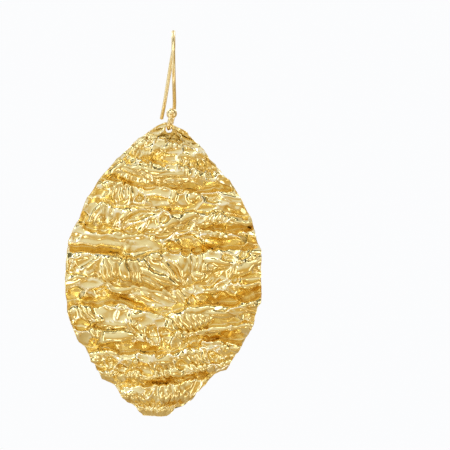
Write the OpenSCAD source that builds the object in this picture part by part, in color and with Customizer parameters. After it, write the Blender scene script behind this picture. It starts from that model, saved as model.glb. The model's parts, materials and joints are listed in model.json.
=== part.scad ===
// Drop earring: a round wire ear hook and one large pointed oval drop of thin crumpled sheet metal.
// The drop is a single sheet, folded in ledges from top to bottom and hung by a round hole
// straight on the loop of the hook. Sizes are in millimetres.
// The origin is the underside of the hook's bend, the place that rests in the ear.
// The front of the drop faces -Y, the drop hangs down -Z and its right side is +X.

/* [Drop] */
// height of the drop from its top point to its bottom edge
drop_height = 63.1; // [40:0.1:90]
// width of the drop at its widest, as a share of the drawn outline
drop_width_share = 1.0; // [0.7:0.01:1.3]
// thickness of the sheet
sheet_thickness = 0.38; // [0.35:0.05:0.8]
// depth of the ledges, as a share of the drawn depth
fold_depth_share = 1.0; // [0.5:0.05:1.2]
// height of the small dents pressed into the sheet
dent_height = 0.22; // [0:0.02:0.4]
// diameter of the round hole that the hook passes through
hole_diameter = 1.5; // [1.3:0.05:2]
// distance from the drop's top edge down to the centre of the hole
hole_below_top = 1.4; // [1.2:0.05:2.5]

/* [Ear hook] */
// diameter of the round wire
wire_diameter = 0.8; // [0.6:0.05:1]
// diameter of the ball melted on the front end of the wire
ball_diameter = 2.3; // [1.6:0.1:3]
// radius of the small loop, measured to the middle of the wire
loop_radius = 1.62; // [1.4:0.02:2.2]
// radius of the bend over the ear, measured to the middle of the wire
bend_radius = 5.4; // [4:0.1:8]
// length of the straight part at the lower end of the rear leg
tail_length = 2.5; // [1:0.1:6]

/* [Mesh] */
// number of cells across the drop
cells_across = 26; // [16:1:28]

/* [Hidden] */
$fn = 64;
wire_radius = wire_diameter / 2;
// each stretch of wire stops this far short of its joint
joint_room = 0.03;
// the centre of the hole is this far below the middle of the wire
hang_drop = 0.12;

// The front of the hook from the top of the bend, as a row per stretch of wire.
// Columns: length or bend radius, angle turned (0 is straight), twist before the stretch.
FRONT_WIRE = [
    [bend_radius, 66, 1],
    [9.5, 27, 0],
    [7.0, 41, 0],
    [3.9, 0, 0],
    [7.3, -38, 22],
    [loop_radius, -214, -6]
];
// The rear of the hook from the same place, with the same columns.
REAR_WIRE = [
    [bend_radius - 0.3, 63, 0],
    [8.0, 10, 90],
    [8.6, 25, -90],
    [6.4, 0, 0],
    [4.5, -35, 0],
    [tail_length, 0, 0]
];
// row of FRONT_WIRE that is the loop
LOOP_ROW = 5;

// height that the tables of the drop are drawn at
DRAWN_HEIGHT = 63.1;

// Outline of the drop seen from the front, a row per height.
// Columns: height below the top, left edge, right edge, both from the hole.
OUTLINE = [
    [0.0, -0.8, 0.5],
    [0.8, -2.8, 1.3],
    [1.4, -3.6, 3.0],
    [2.7, -5.3, 4.4],
    [4.0, -7.0, 5.0],
    [5.9, -9.1, 7.5],
    [7.8, -10.8, 8.6],
    [9.1, -12.0, 10.1],
    [11.1, -13.9, 11.4],
    [12.5, -15.0, 13.2],
    [14.3, -16.2, 14.3],
    [16.2, -17.6, 15.5],
    [18.2, -18.3, 16.3],
    [20.8, -19.3, 17.7],
    [22.7, -20.6, 18.3],
    [25.3, -21.4, 19.0],
    [27.8, -21.9, 19.8],
    [30.4, -22.1, 19.8],
    [33.7, -22.3, 19.8],
    [36.9, -22.2, 20.0],
    [38.8, -21.9, 19.6],
    [40.7, -21.7, 18.7],
    [43.3, -21.0, 18.3],
    [45.9, -20.0, 16.8],
    [47.2, -19.2, 16.1],
    [49.1, -17.5, 15.3],
    [51.1, -16.5, 14.0],
    [53.0, -15.5, 12.4],
    [54.9, -14.2, 9.4],
    [56.9, -11.6, 7.8],
    [58.8, -10.1, 5.6],
    [60.1, -9.0, 4.1],
    [61.4, -6.6, 1.3],
    [DRAWN_HEIGHT, -5.2, -0.6]
];

// The ledges of the drop from the top down, a row per fold.
// Columns: height below the top of the groove at the left edge, left quarter, middle, right
// quarter and right edge; depth of the sheet behind the groove and of the crest in front, both
// from the hole with the front negative; how far below the groove line the crest stands out most;
// 1 for a large fold and 0 for a small one; share of the depth that the groove has in the middle.
FOLDS = [
    [2.3, 2.9, 3.4, 4.1, 4.8, 1.3, -2.0, 1.6, 1, 0.3],
    [6.3, 7.5, 8.2, 9.0, 9.8, 1.6, -3.0, 1.9, 1, 0.42],
    [11.4, 13.0, 13.8, 14.2, 14.2, 1.2, -1.9, 1.6, 0, 0.25],
    [15.4, 17.4, 18.3, 18.7, 19.5, 1.2, -3.0, 1.8, 1, 0.42],
    [21.4, 23.3, 23.8, 22.7, 23.0, 1.5, -2.0, 1.4, 0, 0.2],
    [25.9, 26.9, 27.6, 26.7, 26.0, 2.5, -3.5, 2.6, 1, 0.55],
    [31.7, 34.1, 35.6, 33.9, 33.0, -0.5, -2.2, 1.2, 0, 0.2],
    [38.0, 38.3, 40.3, 38.6, 36.8, 2.8, -3.3, 2.2, 1, 0.45],
    [43.2, 44.4, 45.3, 43.6, 42.4, 0.2, -2.5, 1.2, 0, 0.22],
    [47.8, 48.7, 49.0, 46.6, 45.9, 2.2, -2.4, 2.0, 1, 0.42],
    [52.0, 52.9, 52.9, 51.7, 50.4, 0.2, -1.4, 1.2, 0, 0.25],
    [56.0, 56.1, 56.0, 55.1, 53.6, 2.8, -0.6, 1.9, 1, 0.42],
    [60.2, 60.6, 60.8, 60.6, 60.0, 2.4, 1.2, 1.2, 0, 0.4]
];
TOP_EDGE_DEPTH = -0.5;
BOTTOM_EDGE_DEPTH = 2.8;

// Shape of the sheet at a groove, from the fold above to the crest below. In the middle of the
// drop the crest stands out as a ledge; toward the side edges the groove is wide and round.
// Columns: distance below the groove line, and the place between the crest in front (-1) and the
// sheet behind (1), both in the middle of the drop; the same two at the side edges.
LARGE_TURN = [
    [-1.2, -0.30, -1.7, -0.50],
    [-0.5, 0.35, -0.9, 0.35],
    [0.0, 0.90, -0.2, 0.90],
    [0.3, 1.00, 0.35, 1.00],
    [0.5, 0.55, 0.85, 0.75],
    [0.6, -0.25, 1.25, 0.10],
    [0.85, -0.80, 1.6, -0.60]
];
SMALL_TURN = [
    [-0.6, 0.35, -0.9, 0.20],
    [0.0, 1.00, 0.0, 1.00],
    [0.3, 0.80, 0.4, 0.80],
    [0.5, 0.00, 0.75, 0.00],
    [0.75, -0.70, 0.95, -0.70]
];
// how the shape changes from the middle to the side edges, as a power of the place across
EDGE_POWER = 3;
// share of the depth that every groove has at the side edges
EDGE_SHARE = 0.8;
// how much that share rises and falls along a groove
SHARE_WAVE = 0.4;
// the sheet keeps close to the crest's depth for most of the way down to the next groove
RISER_POWER = 2.5;
// the rows above a groove draw closer to it where the crest above leaves less room than this
APPROACH_ROOM = 2.4;
// rows at the start of a turn that belong to the sheet coming down from the fold above
LARGE_APPROACH = 3;
SMALL_APPROACH = 2;

// Long pebble shapes pressed forward out of the sheet, a row per pebble.
// Columns: distance right of the hole, height below the top, length, width, angle up to the right.
PEBBLES = [
    [-6.4, 19.9, 7.7, 2.2, 20],
    [-6.2, 23.2, 5.5, 2.2, 25],
    [-17.6, 30.0, 6.5, 2.4, 20],
    [-1.7, 33.1, 9.0, 2.4, -22],
    [9.7, 33.9, 7.5, 2.3, 40],
    [16.8, 31.8, 5.0, 2.0, 30],
    [-11.4, 44.8, 6.4, 2.6, 12],
    [-12.0, 41.0, 4.6, 2.6, 5],
    [-1.8, 46.2, 5.6, 4.4, 60],
    [8.8, 49.6, 4.4, 4.0, 40],
    [-10.4, 53.8, 3.4, 3.0, 0],
    [4.2, 24.9, 2.6, 2.2, 0]
];

function blend(a, b, t) = a + (b - a) * t;
function ease(t) = t * t * (3 - 2 * t);
function held(t) = min(1, max(0, t));

function shift(v) = [[1, 0, 0, v.x], [0, 1, 0, v.y], [0, 0, 1, v.z], [0, 0, 0, 1]];
function turn_x(a) = [[1, 0, 0, 0], [0, cos(a), -sin(a), 0], [0, sin(a), cos(a), 0], [0, 0, 0, 1]];
function turn_z(a) = [[cos(a), -sin(a), 0, 0], [sin(a), cos(a), 0, 0], [0, 0, 1, 0], [0, 0, 0, 1]];

// frames at the top of the bend, with the wire running along each frame's own Z
FRONT_START = [[-1, 0, 0, 0], [0, 0, -1, 0], [0, -1, 0, wire_radius], [0, 0, 0, 1]];
REAR_START = [[1, 0, 0, 0], [0, 0, 1, 0], [0, -1, 0, wire_radius], [0, 0, 0, 1]];

// frame after part of one stretch of wire
function along(row, share) =
    let (side = row[1] < 0 ? -1 : 1)
    row[1] == 0
        ? shift([0, 0, row[0] * share])
        : shift([0, side * row[0], 0]) * turn_x(-row[1] * share) * shift([0, -side * row[0], 0]);
// frame at the start of stretch i, before its twist
function frame_at(start, rows, i) =
    i == 0 ? start : frame_at(start, rows, i - 1) * turn_z(rows[i - 1][2]) * along(rows[i - 1], 1);

// the lowest place of the loop is looked for among points along it
LOOP_FRAME = frame_at(FRONT_START, FRONT_WIRE, LOOP_ROW) * turn_z(FRONT_WIRE[LOOP_ROW][2]);
function loop_point(share) = LOOP_FRAME * along(FRONT_WIRE[LOOP_ROW], share) * [0, 0, 0, 1];
LOOP_POINTS = [for (i = [0:200]) loop_point(i / 200)];
LOOP_LOWEST_Z = min([for (p = LOOP_POINTS) p.z]);
LOOP_LOWEST = [for (p = LOOP_POINTS) if (p.z == LOOP_LOWEST_Z) p][0];
// centre of the hole, which is also the line that the drop swings about
HOLE_AT = [LOOP_LOWEST.x, LOOP_LOWEST.y, LOOP_LOWEST.z - hang_drop];

// one stretch of round wire from a frame, straight or bent, a hair short at both ends
module stretch(row) {
    if (row[1] == 0) {
        translate([0, 0, joint_room])
            cylinder(h = row[0] - 2 * joint_room, r = wire_radius);
    } else {
        side = row[1] < 0 ? -1 : 1;
        start = joint_room / row[0] * 180 / PI;
        multmatrix([[0, 0, -side, 0], [-side, 0, 0, side * row[0]], [0, 1, 0, 0], [0, 0, 0, 1]])
            rotate([0, 0, start])
                rotate_extrude(angle = abs(row[1]) - 2 * start)
                    translate([row[0], 0])
                        circle(r = wire_radius);
    }
}

// a short length, a hair thicker than the wire, that ties one stretch to the next
module collar() {
    cylinder(h = 8 * joint_room, r = wire_radius + 0.01, center = true);
}

module wire(start, rows) {
    for (i = [0:len(rows) - 1]) {
        multmatrix(frame_at(start, rows, i) * turn_z(rows[i][2]))
            stretch(rows[i]);
        multmatrix(frame_at(start, rows, i + 1))
            collar();
    }
}

module ear_hook() {
    color([0.88, 0.72, 0.42])
    union() {
        wire(FRONT_START, FRONT_WIRE);
        wire(REAR_START, REAR_WIRE);
        multmatrix(FRONT_START)
            collar();
        // the melted ball that closes the loop
        multmatrix(frame_at(FRONT_START, FRONT_WIRE, LOOP_ROW + 1))
            translate([0, 0, ball_diameter / 2 - 0.1])
                sphere(d = ball_diameter);
    }
}

// how far the place u across the drop has come from the middle's shape to the side edge's
function edge_part(u) = pow(abs(u), EDGE_POWER);
// waves of a groove line up and down, calmer toward the two narrow ends of the drop
function wander(k, u) =
    pow(sin(180 * (k + 1) / 14), 0.5)
        * (0.28 * sin(516 * u + 120 * k) + 0.2 * sin(974 * u + 74.5 * k * k));
// height of a groove at a place across the drop, u from -1 at the left edge to 1 at the right
function groove(k, u) = drawn_groove(FOLDS[k], u) + wander(k, u);
function drawn_groove(fold, u) =
    let (
        s = (u + 1) * 2,
        k = min(3, floor(s)),
        t = s - k,
        a = fold[k],
        b = fold[k + 1],
        before = k == 0 ? a - (b - a) : fold[k - 1],
        after = k == 3 ? b + (b - a) : fold[k + 2]
    )
    0.5 * (2 * a + (b - before) * t + (2 * before - 5 * a + 4 * b - after) * t * t
        + (3 * a - before - 3 * b + after) * t * t * t);

// the crests come less far forward near the two side edges, and swell a little along the fold
function reach(k, u) = (1 - 0.55 * pow(abs(u), 3)) * (1 + 0.12 * sin(150 * u + 97 * k));
function front_depth(k, u) =
    let (middle = (FOLDS[k][5] + FOLDS[k][6]) / 2)
    middle + (FOLDS[k][6] - middle) * reach(k, u);
// depth of the sheet behind a groove, which is less deep in the middle of the drop
function back_depth(k, u) =
    let (
        whole = FOLDS[k][5] * (1 + 0.10 * sin(120 * u + 61 * k)),
        inner = FOLDS[k][9] * (1 + SHARE_WAVE * sin(344 * u + 137.5 * k))
    )
    blend(front_depth(k, u), whole, blend(inner, EDGE_SHARE, edge_part(u)));

// height and depth of the sheet, row by row from the top edge to the bottom edge
function near(k, u) =
    k == 0 ? 1
        : min(1, max(0.3, (groove(k, u) - groove(k - 1, u) - FOLDS[k - 1][7]) / APPROACH_ROOM));
function turn_table(k) = FOLDS[k][8] == 1 ? LARGE_TURN : SMALL_TURN;
function turn_place(k, index, u) =
    let (row = turn_table(k)[index])
    index == len(turn_table(k))
        ? [FOLDS[k][7] + 0.2 * edge_part(u), -1]
        : [blend(row[0], row[2], edge_part(u)), blend(row[1], row[3], edge_part(u))];
function turn_row(k, index, u) =
    let (
        row = turn_place(k, index, u),
        below = row[0] < 0 ? row[0] * near(k, u) : row[0],
        coming_down = index < (FOLDS[k][8] == 1 ? LARGE_APPROACH : SMALL_APPROACH),
        front = !coming_down ? front_depth(k, u) : k == 0 ? TOP_EDGE_DEPTH : front_depth(k - 1, u)
    )
    [groove(k, u) + below, blend(front, back_depth(k, u), (1 + row[1]) / 2)];
function riser_row(k, share, u) =
    let (
        crest = turn_row(k, len(turn_table(k)), u),
        last = k == len(FOLDS) - 1,
        under = last ? [DRAWN_HEIGHT, BOTTOM_EDGE_DEPTH] : turn_row(k + 1, 0, u),
        power = last ? 1 : RISER_POWER
    )
    [blend(crest[0], under[0], share), blend(crest[1], under[1], pow(share, power))];

function top_rows(u) = [
    for (share = [0, 0.35, 0.7])
        let (h = share * turn_row(0, 0, u)[0])
        [h, TOP_EDGE_DEPTH + 0.36 * h]
];
function fold_rows(k, u) = concat(
    [for (i = [0:len(turn_table(k))]) turn_row(k, i, u)],
    [for (share = FOLDS[k][8] == 1 ? [0.4, 0.75] : [0.5]) riser_row(k, share, u)]
);
function profile(u) = concat(
    top_rows(u),
    [for (k = [0:len(FOLDS) - 1]) each fold_rows(k, u)],
    [[DRAWN_HEIGHT, BOTTOM_EDGE_DEPTH]]
);
drop_scale = drop_height / DRAWN_HEIGHT;

LEFT_EDGE = [for (row = OUTLINE) [row[0], row[1]]];
RIGHT_EDGE = [for (row = OUTLINE) [row[0], row[2]]];

// how far a pebble or a flute lifts the sheet toward the front
function pebble(row, x, h) =
    let (
        dx = x - row[0],
        dh = row[1] - h,
        along_it = (dx * cos(row[4]) + dh * sin(row[4])) / (row[2] / 2),
        across_it = (dh * cos(row[4]) - dx * sin(row[4])) / (row[3] / 2),
        far = along_it * along_it + across_it * across_it
    )
    far < 1 ? sqrt(1 - far) : 0;
function pebbles(x, h) = max([for (row = PEBBLES) pebble(row, x, h)]);
function flutes(x, h) =
    0.5 * sin(115 * x + 40 * sin(31 * h)) * sin(63 * h + 25 * x) + 0.35 * sin(71 * h - 58 * x);
function plain_near_hole(x, h) =
    ease(held((norm([x, h - hole_below_top]) - 2.2) / 2));
function lift(x, h) =
    dent_height * (1.4 * pebbles(x, h) + flutes(x, h)) * plain_near_hole(x, h);

// middle of the sheet as points, [x, y, z] from the hole
function sheet_point(u, row) =
    let (
        h = held(row[0] / DRAWN_HEIGHT) * DRAWN_HEIGHT,
        x = blend(lookup(h, LEFT_EDGE), lookup(h, RIGHT_EDGE), (u + 1) / 2)
    )
    [x * drop_width_share, row[1] * fold_depth_share - lift(x, h),
        (hole_below_top - h) * drop_scale];

COLUMNS = [
    for (j = [0:cells_across])
        let (u = -1 + 2 * j / cells_across)
        [for (row = profile(u)) sheet_point(u, row)]
];
LAST_ROW = len(COLUMNS[0]) - 1;

function unit(v) = v / max(norm(v), 0.000001);
function sheet_normal(i, j) =
    unit(cross(
        COLUMNS[min(j + 1, cells_across)][i] - COLUMNS[max(j - 1, 0)][i],
        COLUMNS[j][min(i + 1, LAST_ROW)] - COLUMNS[j][max(i - 1, 0)]
    ));

function at(i, j) = i * (cells_across + 1) + j;
SKIN = (LAST_ROW + 1) * (cells_across + 1);

module crumpled_sheet() {
    front = [for (i = [0:LAST_ROW]) for (j = [0:cells_across])
        COLUMNS[j][i] - sheet_normal(i, j) * sheet_thickness / 2];
    back = [for (i = [0:LAST_ROW]) for (j = [0:cells_across])
        COLUMNS[j][i] + sheet_normal(i, j) * sheet_thickness / 2];
    front_faces = [for (i = [0:LAST_ROW - 1]) for (j = [0:cells_across - 1]) each [
        [at(i, j), at(i, j + 1), at(i + 1, j + 1)],
        [at(i, j), at(i + 1, j + 1), at(i + 1, j)]
    ]];
    back_faces = [for (face = front_faces) [face[2] + SKIN, face[1] + SKIN, face[0] + SKIN]];
    rim = concat(
        [for (j = [0:cells_across - 1]) each band(at(0, j + 1), at(0, j))],
        [for (j = [0:cells_across - 1]) each band(at(LAST_ROW, j), at(LAST_ROW, j + 1))],
        [for (i = [0:LAST_ROW - 1]) each band(at(i, 0), at(i + 1, 0))],
        [for (i = [0:LAST_ROW - 1]) each band(at(i + 1, cells_across), at(i, cells_across))]
    );
    polyhedron(points = concat(front, back), faces = concat(front_faces, back_faces, rim));
}
// two triangles that close the edge of the sheet between one front edge and its twin behind
function band(a, b) = [[a, b, b + SKIN], [a, b + SKIN, a + SKIN]];

module oval_drop() {
    color([0.86, 0.70, 0.38])
    translate(HOLE_AT)
    difference() {
        crumpled_sheet();
        rotate([90, 0, 0])
            cylinder(h = 4, d = hole_diameter, center = true);
    }
}

ear_hook();
oval_drop();
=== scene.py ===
# %% [markdown]
# # An oval dangle earring
# A thin metal sheet is folded in ledges, crumpled all over, gilded and hung by one hole on the
# small loop of a round wire ear hook. The CAD model gives every size and place. This lesson keeps
# that frame, makes a finer sheet and a smoother wire over it, and gilds, lights and films them.
# Lengths are worked out in millimetres, as a jeweller would, and turned into metres at the end.

# %% Load the CAD model as the frame
import json
import math

import bpy
import numpy as np
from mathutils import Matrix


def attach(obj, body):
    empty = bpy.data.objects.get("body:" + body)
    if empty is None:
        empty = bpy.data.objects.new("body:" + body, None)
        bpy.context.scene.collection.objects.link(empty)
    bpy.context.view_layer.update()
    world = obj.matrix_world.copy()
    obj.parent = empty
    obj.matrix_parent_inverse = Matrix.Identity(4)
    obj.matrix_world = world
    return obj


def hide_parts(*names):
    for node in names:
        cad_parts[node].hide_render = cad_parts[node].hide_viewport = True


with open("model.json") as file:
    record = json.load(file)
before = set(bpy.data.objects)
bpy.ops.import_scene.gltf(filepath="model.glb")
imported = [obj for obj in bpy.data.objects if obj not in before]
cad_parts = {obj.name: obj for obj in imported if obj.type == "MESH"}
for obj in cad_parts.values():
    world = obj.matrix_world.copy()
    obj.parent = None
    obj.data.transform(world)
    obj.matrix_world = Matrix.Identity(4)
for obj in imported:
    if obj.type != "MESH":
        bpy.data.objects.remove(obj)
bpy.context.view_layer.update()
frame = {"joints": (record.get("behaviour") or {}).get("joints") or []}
MM = 0.001
HOLE = np.array(frame["joints"][0]["pos_m"]) / MM
print("frame loaded; the hole of the drop is at", HOLE.round(3), "mm")

# %% [markdown]
# ## Tools
# A few short functions lay out the nodes of the light and the metals, so that the recipes further
# down read like the sums that they are. `tree` is always the node tree that they add to.

# %% Scene and node helpers
def add_object(name, data):
    """A new object in the scene for a camera, a light or a mesh."""
    thing = bpy.data.objects.new(name, data)
    bpy.context.scene.collection.objects.link(thing)
    return thing


def feed(tree, node, inputs):
    """Gives a node's inputs their values: outputs of other nodes, numbers, directions, colours."""
    for key, value in inputs.items():
        socket = node.inputs[key]
        if isinstance(value, bpy.types.NodeSocket):
            tree.links.new(value, socket)
        elif socket.type == "RGBA":
            socket.default_value = (*value, 1.0)
        else:
            socket.default_value = value


def add_node(tree, kind, inputs, **settings):
    """Makes a node, gives it its settings and its inputs, and returns its outputs."""
    node = tree.nodes.new("ShaderNode" + kind)
    for name, setting in settings.items():
        setattr(node, name, setting)
    feed(tree, node, inputs)
    return node.outputs


def calculate(tree, operation, *values):
    """The result of a maths operation."""
    return add_node(tree, "Math", dict(enumerate(values)), operation=operation)[0]


def lean_toward(tree, direction, other):
    """How far a direction leans toward another one: their dot product, from -1 to 1."""
    both = {0: direction, 1: other}
    return add_node(tree, "VectorMath", both, operation="DOT_PRODUCT")["Value"]


def share_between(tree, value, start, end, low=0.0, high=1.0, curve="LINEAR"):
    """Low up to where the value is at start, high from where it is at end, a slope in between."""
    limits = {"Value": value, "From Min": start, "From Max": end, "To Min": low, "To Max": high}
    return add_node(tree, "MapRange", limits, interpolation_type=curve)["Result"]


def blend(tree, share, first, second):
    """A colour that goes from the first to the second while the share goes from 0 to 1."""
    return add_node(tree, "Mix", {"Factor": share, "A": first, "B": second}, data_type="RGBA")["Result"]


# %% [markdown]
# ## Camera
# The photograph looks straight at the front of the earring from far enough away that the sides of
# the ledges don't show. A long lens at 0.9 m does the same. The picture is 450 pixels wide and
# takes in 96.75 mm, and its middle lies to the right of the earring.

# %% Camera
VIEW_WIDTH = 96.75
VIEW_DISTANCE = 900.0
VIEW_CENTRE = (11.13, -41.15)
SENSOR_WIDTH = 36.0
LENS = SENSOR_WIDTH * VIEW_DISTANCE / VIEW_WIDTH
DROP_DEPTH = -1.2
# the camera sees nothing nearer or farther than this, in metres
CLIP = (0.01, 20.0)


def front_camera():
    """A camera on the -Y side, level, whose view is VIEW_WIDTH wide at the depth of the drop."""
    data = bpy.data.cameras.new("front_camera")
    data.sensor_width = SENSOR_WIDTH
    data.lens = LENS
    data.clip_start, data.clip_end = CLIP
    camera = add_object("front_camera", data)
    x, z = VIEW_CENTRE
    camera.location = np.array([x, DROP_DEPTH - VIEW_DISTANCE, z]) * MM
    camera.rotation_euler = (math.pi / 2, 0.0, 0.0)
    bpy.context.scene.camera = camera


front_camera()
print("camera at", VIEW_DISTANCE, "mm with a lens of", round(LENS), "mm")

# %% [markdown]
# ## Light
# Polished gold is only as good as what it mirrors. The real one was shot in a white tent, which
# lights it softly from all sides. The dark lines on the metal are a dark gap in the tent. The deep
# yellow ones are shaded, warm parts of it, and the glints are small bright places. Here the tent
# is a world whose brightness changes slowly with direction, with the gap and soft round patches
# in it. Three softboxes add the sharpest glints. The camera sees none of this, only a pale backdrop.

# %% White tent
# colour that the camera sees in place of the tent
BACKDROP = (0.97, 0.975, 0.985)
# the tent is brightest toward this direction: left, toward the camera and up
TENT_LEAN = (-0.62, -0.25, 0.74)
# columns: how far a direction leans that way, brightness
TENT_SHADES = [(-1, 0.55), (-0.42, 0.655), (0, 0.755), (0.25, 0.81), (0.62, 0.895), (1, 0.97)]
TENT_TOP = 1.6
# Where the tent is darker than TINT_FULL it is warm, and where it is brighter, up to TINT_MOST, it
# is a little cool: its red, green and blue go with these powers of the share of TINT_FULL.
TINT_FULL = 0.82
TINT_MOST = 1.02
TINT_POWERS = (0.0, 0.5, 1.5)
# The dark gap goes over the tent's sides and top. Columns of its three soft edges: where it has
# ended and where it is full. The first two are measured away from the camera, the last upward.
GAP_FRONT = (-0.46, -0.36)
GAP_BACK = (0.04, -0.12)
GAP_LOW = (-0.75, -0.1)
GAP_COLOUR = (0.15, 0.145, 0.1)
# colours of the patches
WARM_ROOM = (0.8, 0.57, 0.22)
PALE = (0.9, 0.98, 1.1)
# soft round patches of the tent. columns: degrees to the right of the camera, degrees up, radius of
# the even middle and of the faded rim in degrees, brightness, colour
FRONT_PATCHES = [
    (16, -38, 10, 40, 0.86, WARM_ROOM),
    (-40, -26, 5, 24, 0.82, WARM_ROOM),
    (38, 16, 4, 22, 0.82, WARM_ROOM),
    (-44, 38, 6, 10, 5.0, PALE),
    (-22, 44, 3, 9, 0.55, WARM_ROOM),
    (42, 40, 4, 8, 4.5, PALE),
    (4, 62, 5, 9, 4.5, PALE),
]
# two upright strips of patches that touch. columns: degrees to the right, degrees up of each patch
STRIPS = [(-62, (-40, -26, -12, 2)), (62, (-34, -20, -6))]
STRIP_PATCH = (3, 12, 2.5, PALE)
LOW_AND_BACK_PATCHES = [
    (-12, -50, 5, 9, 3.5, PALE),
    (150, 28, 7, 12, 4.0, PALE),
    (-142, 34, 8, 13, 4.0, PALE),
    (168, -24, 6, 11, 3.0, PALE),
    (-172, 6, 5, 9, 2.4, PALE),
    (-150, -34, 8, 34, 0.7, WARM_ROOM),
    (140, -8, 4, 20, 0.7, WARM_ROOM),
]


def tent_brightness(tree, direction):
    """The tent's brightness: a smooth curve through TENT_SHADES over the direction's lean."""
    shade = tree.nodes.new("ShaderNodeFloatCurve")
    curve = shade.mapping.curves[0]
    for spot, (lean, brightness) in zip(curve.points, (TENT_SHADES[0], TENT_SHADES[-1])):
        spot.location = ((lean + 1) / 2, brightness / TENT_TOP)
    for lean, brightness in TENT_SHADES[1:-1]:
        curve.points.new((lean + 1) / 2, brightness / TENT_TOP)
    shade.mapping.update()
    lean_share = share_between(tree, lean_toward(tree, direction, TENT_LEAN), -1.0, 1.0)
    feed(tree, shade, {"Value": lean_share})
    return calculate(tree, "MULTIPLY", shade.outputs["Value"], TENT_TOP)


def tinted(tree, brightness):
    """The tent's colour: the brightness times a power of its share of TINT_FULL."""
    share = calculate(tree, "DIVIDE", calculate(tree, "MINIMUM", brightness, TINT_MOST), TINT_FULL)
    raised = [calculate(tree, "POWER", share, power) for power in TINT_POWERS]
    parts = [calculate(tree, "MULTIPLY", power, brightness) for power in raised]
    return add_node(tree, "CombineXYZ", dict(enumerate(parts)))[0]


def gap_share(tree, direction):
    """How much of the dark gap a direction looks into: the product of the gap's three edges."""
    split = add_node(tree, "SeparateXYZ", {0: direction})
    share = 1.0
    for axis, edge in (("Y", GAP_FRONT), ("Y", GAP_BACK), ("Z", GAP_LOW)):
        within = share_between(tree, split[axis], *edge, curve="SMOOTHSTEP")
        share = calculate(tree, "MULTIPLY", share, within)
    return share


def with_patch(tree, direction, colour, right, up, even, faded, brightness, hue):
    """The colour with a round patch over it, which fades in between its faded rim and its even
    middle. Both are angles from the patch's middle, so their cosines are compared."""
    side, rise = math.radians(right), math.radians(up)
    middle = (math.sin(side) * math.cos(rise), -math.cos(side) * math.cos(rise), math.sin(rise))
    edges = [math.cos(math.radians(angle)) for angle in (faded, even)]
    near = share_between(tree, lean_toward(tree, direction, middle), *edges, curve="SMOOTHSTEP")
    return blend(tree, near, colour, [brightness * share for share in hue])


def white_tent():
    """World light: the tinted tent, over it the gap and then the patches, one after the other."""
    world = bpy.data.worlds.new("white_tent")
    world.use_nodes = True
    bpy.context.scene.world = world
    tree = world.node_tree
    tree.nodes.clear()
    direction = add_node(tree, "TexCoord", {})["Generated"]
    tent = tinted(tree, tent_brightness(tree, direction))
    colour = blend(tree, gap_share(tree, direction), tent, GAP_COLOUR)
    strips = [(right, up, *STRIP_PATCH) for right, heights in STRIPS for up in heights]
    for patch in FRONT_PATCHES + strips + LOW_AND_BACK_PATCHES:
        colour = with_patch(tree, direction, colour, *patch)
    camera_ray = add_node(tree, "LightPath", {})["Is Camera Ray"]
    glow = add_node(tree, "Background", {"Color": blend(tree, camera_ray, colour, BACKDROP)})
    add_node(tree, "OutputWorld", {"Surface": glow["Background"]})


# %% Softboxes
AIM_BELOW_HOLE = 32.0
# columns: name, place in mm, width, height, brightness
SOFTBOXES = [
    ("top_left_box", (-330, -330, 330), 90, 60, 4.0),
    ("top_right_box", (300, -260, 360), 70, 50, 4.0),
    ("low_box", (120, -380, -420), 90, 40, 2.0),
]


def softbox(name, place, width, height, brightness):
    """An area light that faces the drop. Its power is pi times brightness times its area."""
    data = bpy.data.lights.new(name, "AREA")
    data.shape = "RECTANGLE"
    data.size = width * MM
    data.size_y = height * MM
    data.energy = math.pi * brightness * width * height * MM * MM
    data.color = PALE
    light = add_object(name, data)
    light.location = np.array(place) * MM
    right, back, up = np.array(place) - HOLE + np.array([0.0, 0.0, AIM_BELOW_HOLE])
    yaw = math.atan2(right, -back)
    pitch = math.atan2(up, math.hypot(right, back))
    light.rotation_euler = (math.pi / 2 - pitch, 0.0, yaw)
    light.visible_camera = False


white_tent()
for box_row in SOFTBOXES:
    softbox(*box_row)
bpy.context.scene.view_settings.view_transform = "Standard"
print("light: a white tent and", len(SOFTBOXES), "softboxes")

# %% [markdown]
# ## Floor
# The earring hangs clear of everything. A pale round table top below it catches a soft shade in
# the other views and stays out of the front view. The gold doesn't mirror it.

# %% Floor
FLOOR_HEIGHT = -150.0
FLOOR_RADIUS = 800.0
FLOOR_SIDES = 96
FLOOR_COLOUR = (0.93, 0.91, 0.87)
FLOOR_ROUGHNESS = 0.6


def pale_table():
    """A plain matt material for the floor, which isn't part of the earring."""
    material = bpy.data.materials.new("pale_table")
    material.use_nodes = True
    shader = material.node_tree.nodes["Principled BSDF"]
    feed(material.node_tree, shader, {"Base Color": FLOOR_COLOUR, "Roughness": FLOOR_ROUGHNESS})
    return material


def circle(sides):
    """The cosines and the sines of even steps round a circle."""
    angle = np.arange(sides) * 2 * math.pi / sides
    return np.cos(angle), np.sin(angle)


def round_floor():
    """A flat disc: its rim is a circle in even steps."""
    x, y = circle(FLOOR_SIDES)
    rim = np.stack([x * FLOOR_RADIUS, y * FLOOR_RADIUS, 0 * x + FLOOR_HEIGHT], axis=1)
    mesh = bpy.data.meshes.new("round_floor")
    mesh.from_pydata((rim * MM).tolist(), [], [list(range(FLOOR_SIDES))])
    mesh.materials.append(pale_table())
    floor = add_object("round_floor", mesh)
    floor.visible_glossy = False
    return floor


round_floor()
print("floor at", FLOOR_HEIGHT, "mm")

# %% [markdown]
# ## The ear hook
# The real hook is one length of round wire: a ball melted on its end, a small loop that holds the
# drop, a bend over the ear and a tail that turns out at its end. A turtle walks along the wire,
# stretch by stretch, as in the CAD model, and a circle is carried along its path. The circle swells
# into the ball at one end and rounds off at the other, so the whole hook is one closed skin.

# %% Path of the wire
WIRE_RADIUS = 0.4
STEP = 0.16
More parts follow.
